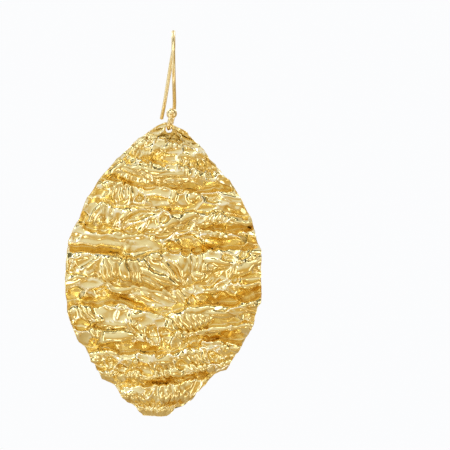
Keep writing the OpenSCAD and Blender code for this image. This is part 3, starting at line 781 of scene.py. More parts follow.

# %% [markdown]
# ## Pockets, flutes and rings
# Crumpling leaves closed cells: dished pockets, domed pillows and rows of flutes, with thin ridges
# and sharp creases between them. Each cell is an ellipse with its own length, width and slant. At
# any place the nearest ellipse, measured in its own lengths, owns the metal, and the ratio of the
# nearest to the second nearest runs from 0 in the middle of a cell to 1 on its border. The large
# cells are charted from the photograph; the gaps between them are filled by a seeded throw
# of cells that follow the run of the creases in each area.

# %% Charted cells
# columns: right of the hole, height below the top, length, width, slant up to the right in degrees,
# pressing (below 0 is dished in, above 0 is domed out, past -1 has an inner ring)
POCKETS = [
    (2.0, 1.5, 2.4, 0.9, -25, 0.8),
    (3.4, 3.2, 3.4, 1.0, -32, -0.8),
    (2.2, 2.6, 1.9, 0.8, -35, 0.9),
    (0.9, 3.0, 1.2, 0.6, 80, -0.9),
    (0.1, 3.2, 1.3, 0.6, 88, 0.8),
    (-2.0, 1.6, 2.2, 0.9, 30, -0.8),
    (-3.2, 2.9, 3.0, 1.0, 30, 0.8),
    (-1.4, 2.9, 1.7, 0.8, 20, -0.7),
    (-4.5, 4.7, 1.5, 1.3, 0, -0.8),
    (-4.6, 5.8, 2.6, 1.3, -10, -0.6),
    (-0.8, 5.6, 1.7, 0.9, 40, 0.7),
    (-3.2, 6.1, 1.5, 1.1, 35, 0.7),
    (0.0, 7.2, 4.3, 1.3, 6, -0.7),
    (-7.9, 5.8, 3.2, 1.9, -45, 0.8),
    (-6.6, 6.7, 1.7, 0.9, -80, 0.8),
    (4.6, 6.0, 3.2, 1.3, -12, -0.8),
    (6.7, 7.2, 2.8, 0.9, -20, -0.6),
    (-8.1, 8.1, 2.4, 1.7, 0, -0.9),
    (-5.1, 8.7, 1.9, 2.1, 80, -0.6),
    (-3.8, 9.1, 1.9, 0.6, -85, 0.7),
    (-1.8, 9.2, 2.6, 2.4, 20, -0.4),
    (0.7, 9.6, 3.2, 1.5, 12, -0.6),
    (8.8, 11.2, 2.1, 1.9, 0, -1),
    (0.5, 11.2, 6.9, 0.9, 3, 0.6),
    (1.0, 12.1, 8.6, 0.9, 2, -0.6),
    (0.6, 12.8, 9.7, 0.9, 1, 0.5),
    (-5.2, 11.1, 2.6, 0.8, -50, 0.8),
    (-4.1, 11.7, 1.9, 0.8, -45, -0.8),
    (-8.1, 10.4, 3.9, 0.9, -18, 0.6),
    (-7.8, 11.4, 4.7, 1.1, -20, -0.7),
    (-12.6, 12.0, 1.3, 0.9, 30, 0.8),
    (-12.6, 13.2, 2.1, 1.3, 35, 0.9),
    (-10.3, 12.9, 1.9, 1.3, 35, 0.9),
    (-9.1, 13.5, 2.1, 1.3, 50, 0.9),
    (-14.3, 14.9, 2.4, 1.5, 0, -0.9),
    (-13.6, 14.1, 2.1, 0.6, -12, -0.9),
    (-3.3, 14.5, 6.0, 1.9, -7, -0.5),
    (-6.2, 16.4, 2.1, 2.4, 70, -1),
    (-2.6, 16.8, 4.7, 1.9, -5, -0.9),
    (1.0, 15.8, 3.0, 1.3, 84, 0.8),
    (2.5, 14.8, 1.3, 1.3, 0, -1),
    (5.1, 15.9, 2.8, 1.7, 30, 0.8),
    (3.1, 16.4, 1.9, 1.5, 60, -0.5),
    (-15.8, 17.9, 3.7, 1.7, 50, -0.7),
    (-12.2, 19.1, 1.3, 1.1, 0, -0.7),
    (-18.2, 20.0, 1.7, 1.7, 0, -0.8),
    (-16.8, 20.9, 1.9, 1.1, 30, 0.8),
    (-14.5, 21.2, 1.7, 0.9, 80, 0.8),
    (-12.8, 21.0, 1.9, 1.1, 65, 0.9),
    (-6.2, 20.0, 8.2, 2.4, 20, -1),
    (-7.2, 22.3, 3.7, 1.5, 25, -0.9),
    (-3.5, 21.4, 2.6, 2.1, -40, -0.9),
    (-1.0, 20.8, 1.9, 2.1, 80, -1),
    (1.7, 19.8, 3.2, 1.3, -30, -0.8),
    (5.7, 17.9, 3.2, 1.3, 45, -0.8),
    (8.2, 18.7, 4.7, 1.7, 15, -0.8),
    (6.4, 20.7, 2.1, 1.5, 0, -0.9),
    (9.6, 16.3, 3.9, 1.9, -10, -1.1),
    (8.6, 14.3, 4.5, 1.5, 8, -0.8),
    (13.7, 16.4, 3.2, 0.9, -8, -0.6),
    (14.6, 17.7, 2.1, 1.1, 0, -0.8),
    (12.2, 20.6, 1.5, 1.3, 0, -0.8),
    (-14.1, 23.0, 2.8, 1.9, 0, -1),
    (-10.9, 23.3, 4.3, 1.3, -50, 0.8),
    (-5.8, 23.4, 2.1, 1.1, 60, 0.8),
    (-3.4, 23.3, 4.1, 1.1, 14, -0.7),
    (0.6, 23.3, 1.9, 0.9, 5, 0.8),
    (2.4, 22.4, 1.9, 1.1, 20, 0.8),
    (5.9, 23.0, 2.1, 1.1, 5, 0.8),
    (8.9, 22.9, 1.7, 0.9, 0, 0.7),
    (11.7, 23.7, 2.1, 1.1, 60, 0.9),
    (10.3, 23.6, 1.7, 0.9, 60, 0.7),
    (14.4, 22.6, 5.2, 1.1, 12, -0.6),
    (-14.4, 25.3, 6.9, 1.9, -4, -0.25),
    (-20.0, 24.5, 2.1, 1.5, 20, -0.6),
    (-5.2, 25.6, 6.5, 1.9, -8, -0.5),
    (-3.5, 24.8, 3.7, 0.9, -30, 0.8),
    (3.8, 25.1, 4.9, 3.2, -4, -1.2),
    (0.7, 26.6, 3.7, 2.1, -27, -1),
    (9.2, 25.2, 3.7, 1.1, -15, -0.9),
    (13.7, 25.2, 3.7, 1.3, 12, -0.8),
    (16.5, 24.7, 3.7, 1.7, -25, -1),
    (9.6, 26.1, 3.9, 0.8, -3, 0.6),
    (-2.6, 28.6, 1.7, 1.7, 0, 0.8),
    (-0.6, 27.8, 1.3, 1.3, 0, 0.8),
    (3.6, 27.7, 2.1, 1.9, 0, -0.9),
    (6.0, 27.5, 2.1, 1.7, 0, -0.9),
    (8.5, 27.7, 1.1, 1.7, 90, 0.8),
    (-18.3, 29.7, 6.5, 2.4, 20, -0.9),
    (-19.6, 28.7, 1.9, 1.1, 15, -0.6),
    (-21.6, 30.8, 2.4, 0.8, 78, 0.8),
    (-20.7, 31.0, 2.4, 0.8, 75, 0.8),
    (-18.0, 32.9, 6.0, 1.7, 10, 0.6),
    (-14.7, 33.3, 3.0, 0.9, -60, 0.8),
    (-13.6, 32.9, 4.3, 1.1, -70, 0.9),
    (-12.8, 32.0, 4.3, 1.0, -72, 0.9),
    (-11.7, 31.4, 3.2, 1.3, -75, 0.9),
    (-11.2, 34.0, 1.7, 1.7, 0, -1),
    (-9.5, 32.0, 4.9, 2.4, -80, 1.1),
    (-7.5, 32.5, 4.3, 1.0, -82, 0.9),
    (-6.5, 32.6, 4.3, 1.0, -80, 0.9),
    (-11.0, 29.5, 1.5, 0.9, 0, 0.7),
    (-16.8, 34.4, 4.5, 1.5, -5, -0.6),
    (-5.2, 30.2, 1.9, 1.7, 60, 0.8),
    (-2.2, 33.2, 9.2, 1.9, -22, 1.1),
    (-2.4, 31.1, 6.0, 1.5, -25, -0.8),
    (0.7, 32.4, 4.5, 1.3, -52, 0.9),
    (1.7, 32.1, 5.2, 1.1, -58, -0.8),
    (2.7, 32.1, 5.2, 1.0, -62, 0.9),
    (3.5, 34.2, 3.0, 0.9, -80, 0.9),
    (4.5, 34.5, 3.2, 1.1, -72, -0.7),
    (-2.8, 34.7, 5.8, 1.5, -33, 1),
    (0.9, 36.4, 2.6, 1.3, -40, -0.7),
    (12.6, 29.1, 3.4, 1.9, -30, -1),
    (16.1, 28.1, 3.2, 1.9, 45, -1),
    (15.2, 29.7, 1.3, 1.1, 30, 0.8),
    (17.9, 29.1, 1.5, 1.1, 20, 0.8),
    (16.6, 31.1, 4.9, 1.9, 28, 1),
    (13.6, 31.9, 2.8, 0.8, 65, 0.9),
    (7.8, 31.1, 1.3, 1.3, 80, 0.9),
    (9.2, 31.3, 1.3, 1.1, 70, 0.8),
    (6.2, 33.2, 2.4, 1.9, 20, 1),
    (8.2, 32.9, 1.9, 0.9, 50, 0.8),
    (9.4, 33.9, 7.7, 2.1, 35, -1),
    (11.5, 35.1, 3.7, 1.5, 30, -0.9),
    (14.3, 33.8, 1.7, 1.5, 0, -1.1),
    (17.3, 33.4, 4.3, 1.7, 25, -0.9),
    (15.5, 36.1, 6.5, 1.3, -18, -0.8),
    (17.0, 35.3, 3.2, 1.1, 15, 0.6),
    (14.2, 37.3, 3.9, 1.0, -28, 0.7),
    (11.1, 37.0, 2.4, 1.5, 5, -0.9),
    (8.0, 37.6, 3.7, 1.3, -15, -0.9),
    (4.8, 37.8, 1.9, 1.7, 0, -1.1),
    (-20.1, 36.2, 2.1, 2.4, 0, -0.8),
    (-14.4, 36.4, 2.7, 3.1, 90, -1.1),
    (-9.8, 35.9, 4.7, 1.3, 3, 0.6),
    (-6.8, 36.3, 2.6, 1.1, 0, -0.9),
    (-4.8, 36.7, 2.6, 1.1, -40, 0.8),
    (-1.5, 38.1, 4.7, 1.7, -30, -0.5),
    (-3.7, 38.4, 6.2, 1.2, -20, -0.8),
    (-9.5, 38.5, 4.9, 1.2, -18, -0.8),
    (-9.8, 37.3, 4.7, 0.8, -14, 0.6),
    (-12.4, 38.7, 2.6, 1.5, -20, -0.7),
    (-10.0, 39.5, 1.7, 1.2, 10, -0.8),
    (-13.9, 40.9, 4.3, 2.6, -12, -0.6),
    (-9.7, 41.5, 2.4, 2.4, 0, -0.7),
    (-20.6, 40.1, 3.7, 1.7, -80, -0.5),
    (-18.7, 40.7, 3.4, 0.9, -50, 0.8),
    (-17.9, 40.6, 3.4, 0.9, -50, -0.8),
    (-17.1, 40.3, 3.4, 0.9, -50, 0.8),
    (-19.0, 43.7, 3.0, 1.9, 0, -0.9),
    (-20.6, 43.0, 1.3, 0.9, 0, 0.7),
    (-16.2, 44.6, 3.2, 1.1, -72, 0.9),
    (-15.3, 45.0, 2.8, 1.1, -75, 0.9),
    (-12.4, 43.6, 5.2, 1.5, -3, 0.9),
    (-11.2, 46.0, 6.5, 2.4, 8, 1),
    (-14.9, 42.4, 1.5, 1.1, -40, 0.8),
    (-18.4, 46.4, 2.6, 1.9, 0, -0.7),
    (-16.4, 46.8, 1.1, 1.7, 90, -0.5),
    (-7.2, 43.0, 1.5, 1.3, 0, 0.8),
    (-5.9, 44.3, 3.9, 1.3, -55, 0.9),
    (-7.2, 44.9, 4.7, 0.9, -50, -0.8),
    (-10.6, 47.6, 5.8, 1.1, 4, -0.6),
    (-5.7, 47.8, 3.0, 1.9, -10, -0.8),
    (-3.3, 45.9, 4.3, 2.4, -78, -0.9),
    (-0.6, 46.2, 4.1, 2.8, -65, -0.8),
    (1.1, 44.4, 5.8, 1.9, -45, 1),
    (2.9, 44.0, 4.7, 1.2, -50, 0.9),
    (4.1, 43.6, 4.3, 1.1, -55, 0.9),
    (5.3, 43.2, 3.9, 1.1, -55, 0.9),
    (6.4, 42.8, 3.4, 1.1, -55, 0.9),
    (7.5, 42.3, 2.8, 1.1, -55, 0.9),
    (8.4, 41.8, 2.1, 1.0, -55, 0.8),
    (1.9, 39.9, 3.0, 1.7, 0, -0.7),
    (7.0, 39.7, 7.1, 1.9, 5, 0.5),
    (12.2, 39.3, 4.9, 2.1, 12, -0.6),
    (18.1, 39.0, 1.7, 1.5, 0, 0.8),
    (16.3, 41.5, 1.9, 2.1, 0, -0.9),
    (18.1, 41.8, 1.1, 2.6, 80, -0.5),
    (13.4, 42.8, 3.7, 1.1, 3, -0.6),
    (11.4, 43.8, 5.2, 1.7, -12, -0.3),
    (14.9, 44.2, 3.9, 1.9, -10, -0.3),
    (17.4, 43.5, 2.1, 0.8, -50, 0.8),
    (10.0, 45.7, 6.0, 0.8, -4, 0.7),
    (14.8, 46.1, 3.2, 1.5, 15, -0.8),
    (5.6, 47.1, 5.4, 2.8, -5, -1),
    (7.6, 46.8, 2.1, 1.3, 0, 0.5),
    (12.9, 47.3, 5.6, 0.8, -5, 0.6),
    (12.0, 48.4, 1.3, 1.1, 0, 0.8),
    (-12.9, 51.6, 2.6, 2.8, 80, -1),
    (-14.4, 52.4, 2.1, 2.6, 70, -0.5),
    (-15.5, 50.9, 1.3, 2.6, 80, 0.6),
    (-8.9, 50.2, 4.1, 1.7, -6, -0.6),
    (-8.6, 51.4, 2.1, 1.5, -20, -0.7),
    (-7.2, 51.2, 1.1, 1.5, 90, 0.9),
    (-10.5, 53.9, 3.1, 2.7, 0, -1),
    (-8.4, 54.0, 2.1, 0.9, 60, 0.9),
    (-7.5, 53.8, 2.4, 0.9, 60, 0.9),
    (-6.6, 54.0, 2.4, 0.9, 62, 0.9),
    (-4.9, 53.1, 4.5, 2.4, -58, -0.7),
    (-3.1, 53.2, 4.5, 0.9, -60, 0.9),
    (-5.4, 50.9, 2.6, 1.5, -20, -0.5),
    (-1.9, 49.7, 1.9, 1.9, 0, -0.8),
    (1.4, 49.1, 1.5, 1.5, 0, -0.8),
    (-1.9, 52.9, 4.1, 0.9, -63, -0.8),
    (-0.9, 53.2, 3.7, 1.0, -70, 0.9),
    (1.2, 53.0, 3.7, 2.1, -45, 0.9),
    (2.8, 52.0, 4.9, 1.3, -36, -0.9),
    (4.7, 52.1, 3.9, 1.1, -45, 0.8),
    (6.1, 51.3, 4.3, 1.1, -55, 0.9),
    (7.0, 50.8, 4.3, 1.1, -60, 0.9),
    (7.8, 50.3, 3.9, 1.0, -75, -0.8),
    (9.7, 50.3, 2.8, 2.6, 30, -1),
    (9.4, 53.0, 1.9, 1.5, 10, -0.7),
    (10.6, 52.8, 1.3, 1.3, 0, -0.6),
    (11.6, 51.8, 1.9, 0.9, 60, 0.7),
    (-12.8, 54.6, 3.0, 1.3, -5, 0.6),
    (3.7, 54.8, 6.5, 0.9, 12, -0.7),
    (2.0, 55.7, 5.2, 0.9, 10, 0.6),
    (-4.5, 58.0, 1.9, 1.6, 0, -1),
    (-8.0, 58.3, 1.7, 0.8, 0, 0.8),
    (-7.7, 59.4, 1.9, 0.9, -15, 0.8),
    (-5.1, 59.8, 3.0, 0.9, -42, 0.8),
    (5.7, 57.0, 3.0, 1.7, 45, -0.9),
    (-1.5, 58.5, 1.9, 0.8, 85, 0.9),
    (-0.4, 58.7, 1.9, 0.8, 85, 0.9),
    (0.7, 59.0, 1.9, 0.8, 85, 0.9),
    (1.7, 58.8, 1.9, 0.8, 85, 0.9),
    (2.8, 58.7, 1.9, 0.8, 85, 0.9),
    (3.8, 59.2, 1.9, 0.8, 70, 0.9),
]
# rows of even flutes. columns: first and last middle, how many, length, width, slant, pressing
FLUTES = [
    (0.5, 4.2, 2.6, 4.3, 5, 2.4, 0.6, 88, 0.7),
    (2.3, 8.7, 10.6, 9.9, 11, 2.1, 0.8, 80, 0.9),
    (3.9, 10.8, 7.5, 10.9, 4, 1.9, 1.0, 85, 0.8),
    (-11.8, 15.0, -7.3, 15.0, 6, 3.0, 0.9, 86, 0.8),
    (-14.0, 18.8, -11.8, 18.7, 4, 2.8, 0.6, 95, 0.7),
    (-15.7, 18.9, -14.8, 19.8, 3, 3.0, 0.6, 48, 0.7),
    (9.3, 19.7, 11.0, 20.7, 4, 3.9, 0.8, 52, 0.8),
    (4.5, 29.3, 6.9, 30.0, 5, 3.0, 0.6, 88, 0.7),
    (0.6, 37.0, 3.4, 36.5, 4, 3.7, 0.9, -50, 0.8),
    (-1.7, 57.2, 1.7, 57.4, 5, 2.6, 0.7, -80, 0.7),
]
# of two flutes side by side, the second is pressed this share of the first, the other way
FLUTE_DISH = -0.6
# run of the creases. columns: right of the hole, height below the top, length, width, slant
AREAS = np.array([
    (0.2, 2.7, 1.7, 0.9, 0),
    (-4.1, 5.9, 1.9, 0.9, 20),
    (5.6, 7.6, 3.0, 0.9, -10),
    (-1.9, 11.3, 5.2, 0.9, 2),
    (8.8, 11.9, 3.0, 0.9, -5),
    (-10.5, 12.4, 2.6, 1.1, 25),
    (13.1, 14.5, 3.0, 1.1, -15),
    (-10.5, 16.7, 2.6, 1.1, 60),
    (-15.9, 18.8, 2.8, 0.9, 50),
    (-4.1, 18.2, 3.4, 1.3, 10),
    (4.5, 18.8, 3.0, 1.3, 30),
    (12.1, 19.2, 3.0, 1.1, 50),
    (15.3, 21.4, 2.6, 0.9, -5),
    (-19.1, 23.5, 2.6, 1.1, -10),
    (-4.1, 23.5, 3.0, 1.1, 20),
    (11.0, 23.5, 2.1, 1.1, 20),
    (-14.8, 27.0, 6.5, 0.9, -4),
    (-0.8, 28.5, 2.1, 1.3, -20),
    (9.9, 27.4, 3.0, 1.1, 0),
    (-20.2, 31.7, 2.6, 1.1, 30),
    (-12.7, 30.0, 2.6, 0.9, 90),
    (-4.1, 31.7, 4.3, 1.3, -25),
    (6.7, 30.6, 1.7, 1.1, 80),
    (15.3, 31.7, 3.0, 1.3, 30),
    (-17.0, 36.4, 3.0, 1.3, 0),
    (-4.1, 36.4, 3.4, 1.1, -20),
    (8.8, 37.1, 3.0, 1.1, -20),
    (17.4, 36.7, 3.9, 1.1, -15),
    (-19.1, 41.4, 3.0, 1.1, -55),
    (-10.5, 44.6, 3.4, 1.3, 0),
    (-5.1, 41.4, 1.7, 1.1, 0),
    (4.5, 44.6, 2.6, 1.1, -55),
    (13.1, 43.5, 3.4, 1.1, -5),
    (-14.8, 47.8, 3.0, 1.1, 0),
    (0.2, 48.5, 2.1, 1.5, 20),
    (13.1, 47.8, 3.9, 0.9, -8),
    (-13.7, 52.1, 2.1, 1.3, 60),
    (-6.2, 51.5, 2.6, 1.3, -20),
    (2.4, 52.1, 3.4, 1.1, -50),
    (8.8, 52.1, 2.6, 1.1, -60),
    (-11.6, 55.8, 3.9, 1.1, 0),
    (0.2, 56.4, 3.9, 0.9, 8),
    (-8.4, 59.2, 2.1, 0.9, -10),
    (1.3, 58.2, 2.1, 0.9, 85),
    (-3.0, 61.4, 1.7, 1.1, 70),
])
ACROSS, BELOW, LENGTH, WIDTH, SLANT, PRESSED = range(6)


def flute_cells(x1, h1, x2, h2, count, length, width, slant, pressed):
    """Equal cells at even steps from the first middle to the last, every other one dished."""
    shares = np.linspace(0.0, 1.0, count)
    signs = [FLUTE_DISH if number % 2 else 1.0 for number in range(count)]
    return [
        (x1 + (x2 - x1) * share, h1 + (h2 - h1) * share, length, width, slant, sign * pressed)
        for share, sign in zip(shares, signs)
    ]


charted = np.array(POCKETS + [cell for row in FLUTES for cell in flute_cells(*row)])
print("charted cells:", len(charted))

# %% Fill cells
FILL_SEED = 11
FILL_THROWS = 9000
# two cells overlap too much where 1 over the sum of 1 over each one's distance is below this
FILL_CLOSENESS = 0.9
# what each thrown cell draws: its place, its size against its area's, the spread of its slant in
# degrees and its pressing
FILL_ACROSS = (-23.0, 21.0)
FILL_BELOW = (0.0, DROP_HEIGHT)
FILL_SIZE = (1.05, 1.6)
FILL_SPREAD = 9.0
FILL_PRESSED = (0.3, 0.6)
FILL_LENGTHENED = 1.2
# only cells within this distance across and down can overlap
FILL_REACH = 6.0
LEAST_DISTANCE = 0.01


def cell_distance(x, height, cells):
    """How far each place is from each cell's middle, in the cell's own half length and half width:
    the root of (along / half length) squared plus (across / half width) squared."""
    dx = x[:, None] - cells[:, ACROSS]
    dh = cells[:, BELOW] - height[:, None]
    slant = np.radians(cells[:, SLANT])
    along = (dx * np.cos(slant) + dh * np.sin(slant)) / (cells[:, LENGTH] / 2)
    side = (dh * np.cos(slant) - dx * np.sin(slant)) / (cells[:, WIDTH] / 2)
    return np.sqrt(along**2 + side**2)


def throw_cells(kept):
    """Throws cells at random into the outline. Each takes its size and slant from the nearest
    area, a little changed, and stays where it overlaps no cell that is already there by much."""
    rng = np.random.default_rng(FILL_SEED)
    for _ in range(FILL_THROWS):
        x, height = rng.uniform(*FILL_ACROSS), rng.uniform(*FILL_BELOW)
        size, spread = rng.uniform(*FILL_SIZE), rng.normal(0.0, FILL_SPREAD)
        pressed = rng.uniform(*FILL_PRESSED)
        if rng.random() < 0.5:
            pressed = -pressed
        area = AREAS[np.argmin((AREAS[:, ACROSS] - x) ** 2 + (AREAS[:, BELOW] - height) ** 2)]
        length = area[LENGTH] * size * FILL_LENGTHENED
        width = area[WIDTH] * (0.5 + size / 2)
        cell = np.array([[x, height, length, width, area[SLANT] + spread, pressed]])
        near = kept[(abs(kept[:, :2] - cell[:, :2]) < FILL_REACH).all(axis=1)]
        if len(near):
            theirs = cell_distance(cell[:, ACROSS], cell[:, BELOW], near)[0]
            mine = cell_distance(near[:, ACROSS], near[:, BELOW], cell)[:, 0]
            both = np.maximum([theirs, mine], LEAST_DISTANCE)
            if (1 / (1 / both).sum(axis=0)).min() < FILL_CLOSENESS:
                continue
        kept = np.concatenate([kept, cell])
    return kept


cells = throw_cells(charted)
print("cells in all:", len(cells))

# %% Press the sheet
PRESS_DEPTH = 0.9
PRESS_LIMIT = 1.0
RIDGE_ROUNDING = 0.06
WALL_POWER = 1.9
CREASE_POWER = 6
CREASE_GAIN = 2
# cells dished more than this have an inner ring
RINGED_PAST = -0.95
RING_HEIGHT = 0.3
RING_TURNS = 1.5
# how far the places look aside, across and down the drop. columns: distance, radians for each mm
# across and for each mm down, radians at the start
WAVER_ACROSS = ((0.14, 0.8, 1.9, 0.0), (0.03, -2.3, 4.1, 1.0))
WAVER_DOWN = ((0.12, 1.3, -0.6, 2.0), (0.03, 3.7, 2.9, 0.0))
# A groove starts and is full where the sheet lies this far behind the foremost place of FRONT_ROWS
# above and below. In it the relief is GROOVE_CALM less. The cells fade in round the hole, and the
# grooves below the top edge.
FRONT_ROWS = 24
RECESS = (0.8, 2.6)
GROOVES_BELOW = (2.0, 6.0)
GROOVE_CALM = 0.5
PLAIN_ROUND_HOLE = (0.8, 1.3)


def waver(x, height, table):
    """How far a place looks aside: the ripples of a table, added up."""
    return sum(far * np.sin(a * x + b * height + start) for far, a, b, start in table)


def press(x, height):
    """Height of the relief toward the front, and the creases where shade and highlight are painted:
    nearness to a border to the power CREASE_POWER, below 0 for painted shade where the cell is domed
    and the border a valley, above 0 for a painted highlight on a ridge.

    The profile over the ratio t is 1 - t to the WALL_POWER, up for a dome and down for a dish,
    with its ridge at the border rounded. Its height grows with the cell's half width.
    """
    aside, down = x + waver(x, height, WAVER_ACROSS), height + waver(x, height, WAVER_DOWN)
    lift, border = np.empty_like(x), np.empty_like(x)
    for row in range(len(x)):
        distance = cell_distance(aside[row], down[row], cells)
        two = np.argpartition(distance, 1, axis=1)[:, :2]
        first, second = np.take_along_axis(distance, two, axis=1).T
        owner = cells[two[:, 0]]
        half_width, pressed = owner[:, WIDTH] / 2, owner[:, PRESSED]
        soft = RIDGE_ROUNDING / half_width
        edge = np.sqrt((1 - first / np.maximum(second, TINY)) ** 2 + soft**2) - soft
        inner = np.clip(1 - edge, 0.0, 1.0)
        shape = pressed * (1 - inner**WALL_POWER)
        ring = RING_HEIGHT * np.cos(2 * math.pi * RING_TURNS * inner) * (1 - inner)
        shape += np.where(pressed < RINGED_PAST, ring, 0.0)
        lift[row] = np.minimum(PRESS_DEPTH * half_width, PRESS_LIMIT) * shape
        # below 0 paints shade into the valley, above 0 paints a highlight onto the ridge
        border[row] = -np.clip(CREASE_GAIN * pressed, -1.0, 1.0) * inner**CREASE_POWER
    return lift, border


def recess(depth):
    """0 at the front of the sheet to 1 in its grooves: how far each place lies behind the
    foremost place of the rows above and below it."""
    rows = len(depth)
    padded = np.pad(depth, ((FRONT_ROWS, FRONT_ROWS), (0, 0)), mode="edge")
    shifts = range(2 * FRONT_ROWS + 1)
    foremost = np.min([padded[shift : shift + rows] for shift in shifts], axis=0)
    return ease(ramp(depth - foremost, *RECESS))


relief, border = press(drop_x, drop_height)
groove_share = recess(drop_depth) * ramp(drop_height, *GROOVES_BELOW)
relief *= 1 - GROOVE_CALM * groove_share
border *= 1 - GROOVE_CALM * groove_share
from_hole = np.hypot(drop_x, drop_height - HOLE_BELOW_TOP)
relief *= ease(ramp(from_hole, *PLAIN_ROUND_HOLE))

# %% Two skins and a rim
# the relief is lower where the sheet turns more tightly than about this radius
TURN_RADIUS = 0.15
TURN_EASINGS = 3
LEAST_STEP = 0.02


def normals_of(points):
    """Unit vector square to a grid of points: across the columns times down the rows."""
    normal = np.cross(np.gradient(points, axis=1), np.gradient(points, axis=0))
    return normal / np.maximum(np.linalg.norm(normal, axis=2), TINY)[:, :, None]


middle = np.stack([drop_x, drop_depth, HOLE_BELOW_TOP - drop_height], axis=2)
outward = normals_of(middle)
bend = np.linalg.norm(np.gradient(outward, axis=0), axis=2)
bend /= np.maximum(np.linalg.norm(np.gradient(middle, axis=0), axis=2), LEAST_STEP)
for _ in range(TURN_EASINGS):
    bend[1:-1] = (bend[:-2] + bend[1:-1] + bend[2:]) / 3
relief /= 1 + (bend * TURN_RADIUS) ** 2
print("relief from", relief.min().round(2), "to", relief.max().round(2), "mm")
front_skin = middle - outward * (SHEET_THICKNESS / 2 + relief)[:, :, None]
back_skin = middle + outward * (SHEET_THICKNESS / 2 - relief)[:, :, None]


def band(front, back):
    """Triangles between a front edge and a back edge with half as many steps."""
    a, b, c = front[:-1:2], front[1::2], front[2::2]
    d, e = back[:-1], back[1:]
    return np.concatenate([np.stack(t, axis=1) for t in ((a, b, d), (b, e, d), (b, c, e))])


def grid_faces(grid, block, corner_order):
    """Four-cornered faces of a grid of point numbers, without the block of the hole. The corners
    go round one way for the front skin (1) and the other way for the back skin (-1)."""
    top, bottom, left, right = block
    corners = [grid[:-1, :-1], grid[1:, :-1], grid[1:, 1:], grid[:-1, 1:]][::corner_order]
    keep = np.ones((grid.shape[0] - 1, grid.shape[1] - 1), dtype=bool)
    keep[top:bottom, left:right] = False
    return np.stack([corner[keep] for corner in corners], axis=1)


def sheet_faces():
    """Corner lists for the fine front skin, the coarser back skin and the bands of the rims."""
    fine = np.arange((ROWS + 1) * (COLUMNS + 1)).reshape(ROWS + 1, COLUMNS + 1)
    coarse = np.full_like(fine, -1)
    small = coarse[::2, ::2]
    small[:] = fine.size + np.arange(small.size).reshape(small.shape)
    top, bottom, left, right = hole_block
    front = grid_faces(fine, hole_block, 1)
    back = grid_faces(small, [edge // 2 for edge in hole_block], -1)
    lines = [
        (slice(None), 0),
        (ROWS, slice(None)),
        (slice(None, None, -1), COLUMNS),
        (0, slice(None, None, -1)),
        (slice(bottom, top - 1, -1), left),
        (slice(top, bottom + 1), right),
        (top, slice(left, right + 1)),
        (bottom, slice(right, left - 1, -1)),
    ]
    return front, back, np.concatenate([band(fine[line], coarse[line][::2]) for line in lines])


front_faces, back_faces, rim_faces = sheet_faces()
skins = [front_skin.reshape(-1, 3), back_skin[::2, ::2].reshape(-1, 3)]
all_points = np.concatenate(skins) + HOLE
all_faces = [front_faces, back_faces, rim_faces]
used = np.unique(np.concatenate([faces.ravel() for faces in all_faces]))
renumber = np.zeros(len(all_points), dtype=int)
renumber[used] = np.arange(len(used))
drop_faces = [face for faces in all_faces for face in renumber[faces].tolist()]
rim_numbers = range(len(front_faces) + len(back_faces), len(drop_faces))
triangles = 2 * (len(front_faces) + len(back_faces)) + len(rim_faces)
print("drop mesh:", len(used), "points and", triangles, "triangles")

# %% [markdown]
# ## Gilding
# Both pieces are gold plate over brass, so one group of nodes makes the marks that all plate has:
# a slow change of tone, duller places and a fine grain. The grooves of the sheet are rougher, and
# their colour goes to the deeper gold as a painted shade. A second group paints shade into the
# valleys between its domes and a painted highlight onto its ridges.

# %% Plating marks
# columns: output, the input that gives its scale, detail of the noise
MARKS = (("Tone", "Tone Scale", 2.0), ("Dulling", "Tone Scale", 6.0), ("Height", "Grain Scale", 3.0))
# colours of the painted shade in the valleys and of the painted highlight on the ridges, and how much of
# them shows
VALLEY_SHADE, VALLEY_SHADE_SHARE = (0.58, 0.36, 0.08), 0.9
RIDGE_HIGHLIGHT, RIDGE_HIGHLIGHT_SHARE = (1.0, 0.93, 0.72), 0.75
# on the sheet the noise has this share in the tone, to which its hollows add a painted shade; its
# hollows are also this much rougher
SHEET_TONE = 0.45
HOLLOW_ROUGHNESS = 0.1
# where the noise has no dulling and is fully dull, and where the tone starts to deepen
DULLING = (0.3, 0.8)
TONE_START = 0.25


def new_group(name, inputs, outputs):
    """A node group with named inputs and outputs of some kind, and its first and last node."""
    group = bpy.data.node_groups.new(name, "ShaderNodeTree")
    for way, sockets in (("INPUT", inputs), ("OUTPUT", outputs)):
        for label, kind in sockets.items():
            group.interface.new_socket(label, in_out=way, socket_type="NodeSocket" + kind)
    return group, group.nodes.new("NodeGroupInput"), group.nodes.new("NodeGroupOutput")


def plating_marks():
    """Node group: from a point, values for tone (0 to 1), dulling (0 to 1) and fine height."""
    inputs = {"Vector": "Vector", "Tone Scale": "Float", "Grain Scale": "Float"}
    group, start, end = new_group("plating_marks", inputs, {row[0]: "Float" for row in MARKS})
    given = start.outputs
    for output, scale, detail in MARKS:
        settings = {"Vector": given["Vector"], "Scale": given[scale], "Detail": detail}
        feed(group, end, {output: add_node(group, "TexNoise", settings)["Fac"]})
    return group


def crease_shade_and_highlight():
    """Node group: painted shade that darkens a colour in the valleys between domes, and a painted
    highlight that pales it on the ridges.
    """
    inputs = {"Color": "Color", "Crease Light": "Float"}
    group, start, end = new_group("crease_shade_and_highlight", inputs, {"Color": "Color"})
    colour = start.outputs["Color"]
    # painted shade goes into the valleys, then a painted highlight onto the ridges
    for side, marked, most in ((-1.0, VALLEY_SHADE, VALLEY_SHADE_SHARE), (1.0, RIDGE_HIGHLIGHT, RIDGE_HIGHLIGHT_SHARE)):
        share = share_between(group, start.outputs["Crease Light"], 0.0, side, high=most)
        colour = blend(group, share, colour, marked)
    feed(group, end, {"Color": colour})
    return group


marks = plating_marks()
crease_shading_group = crease_shade_and_highlight()


# %% Gold plate
def stored(tree, name):
    """The value that the mesh has stored under a name."""
    return add_node(tree, "Attribute", {}, attribute_name=name)["Fac"]


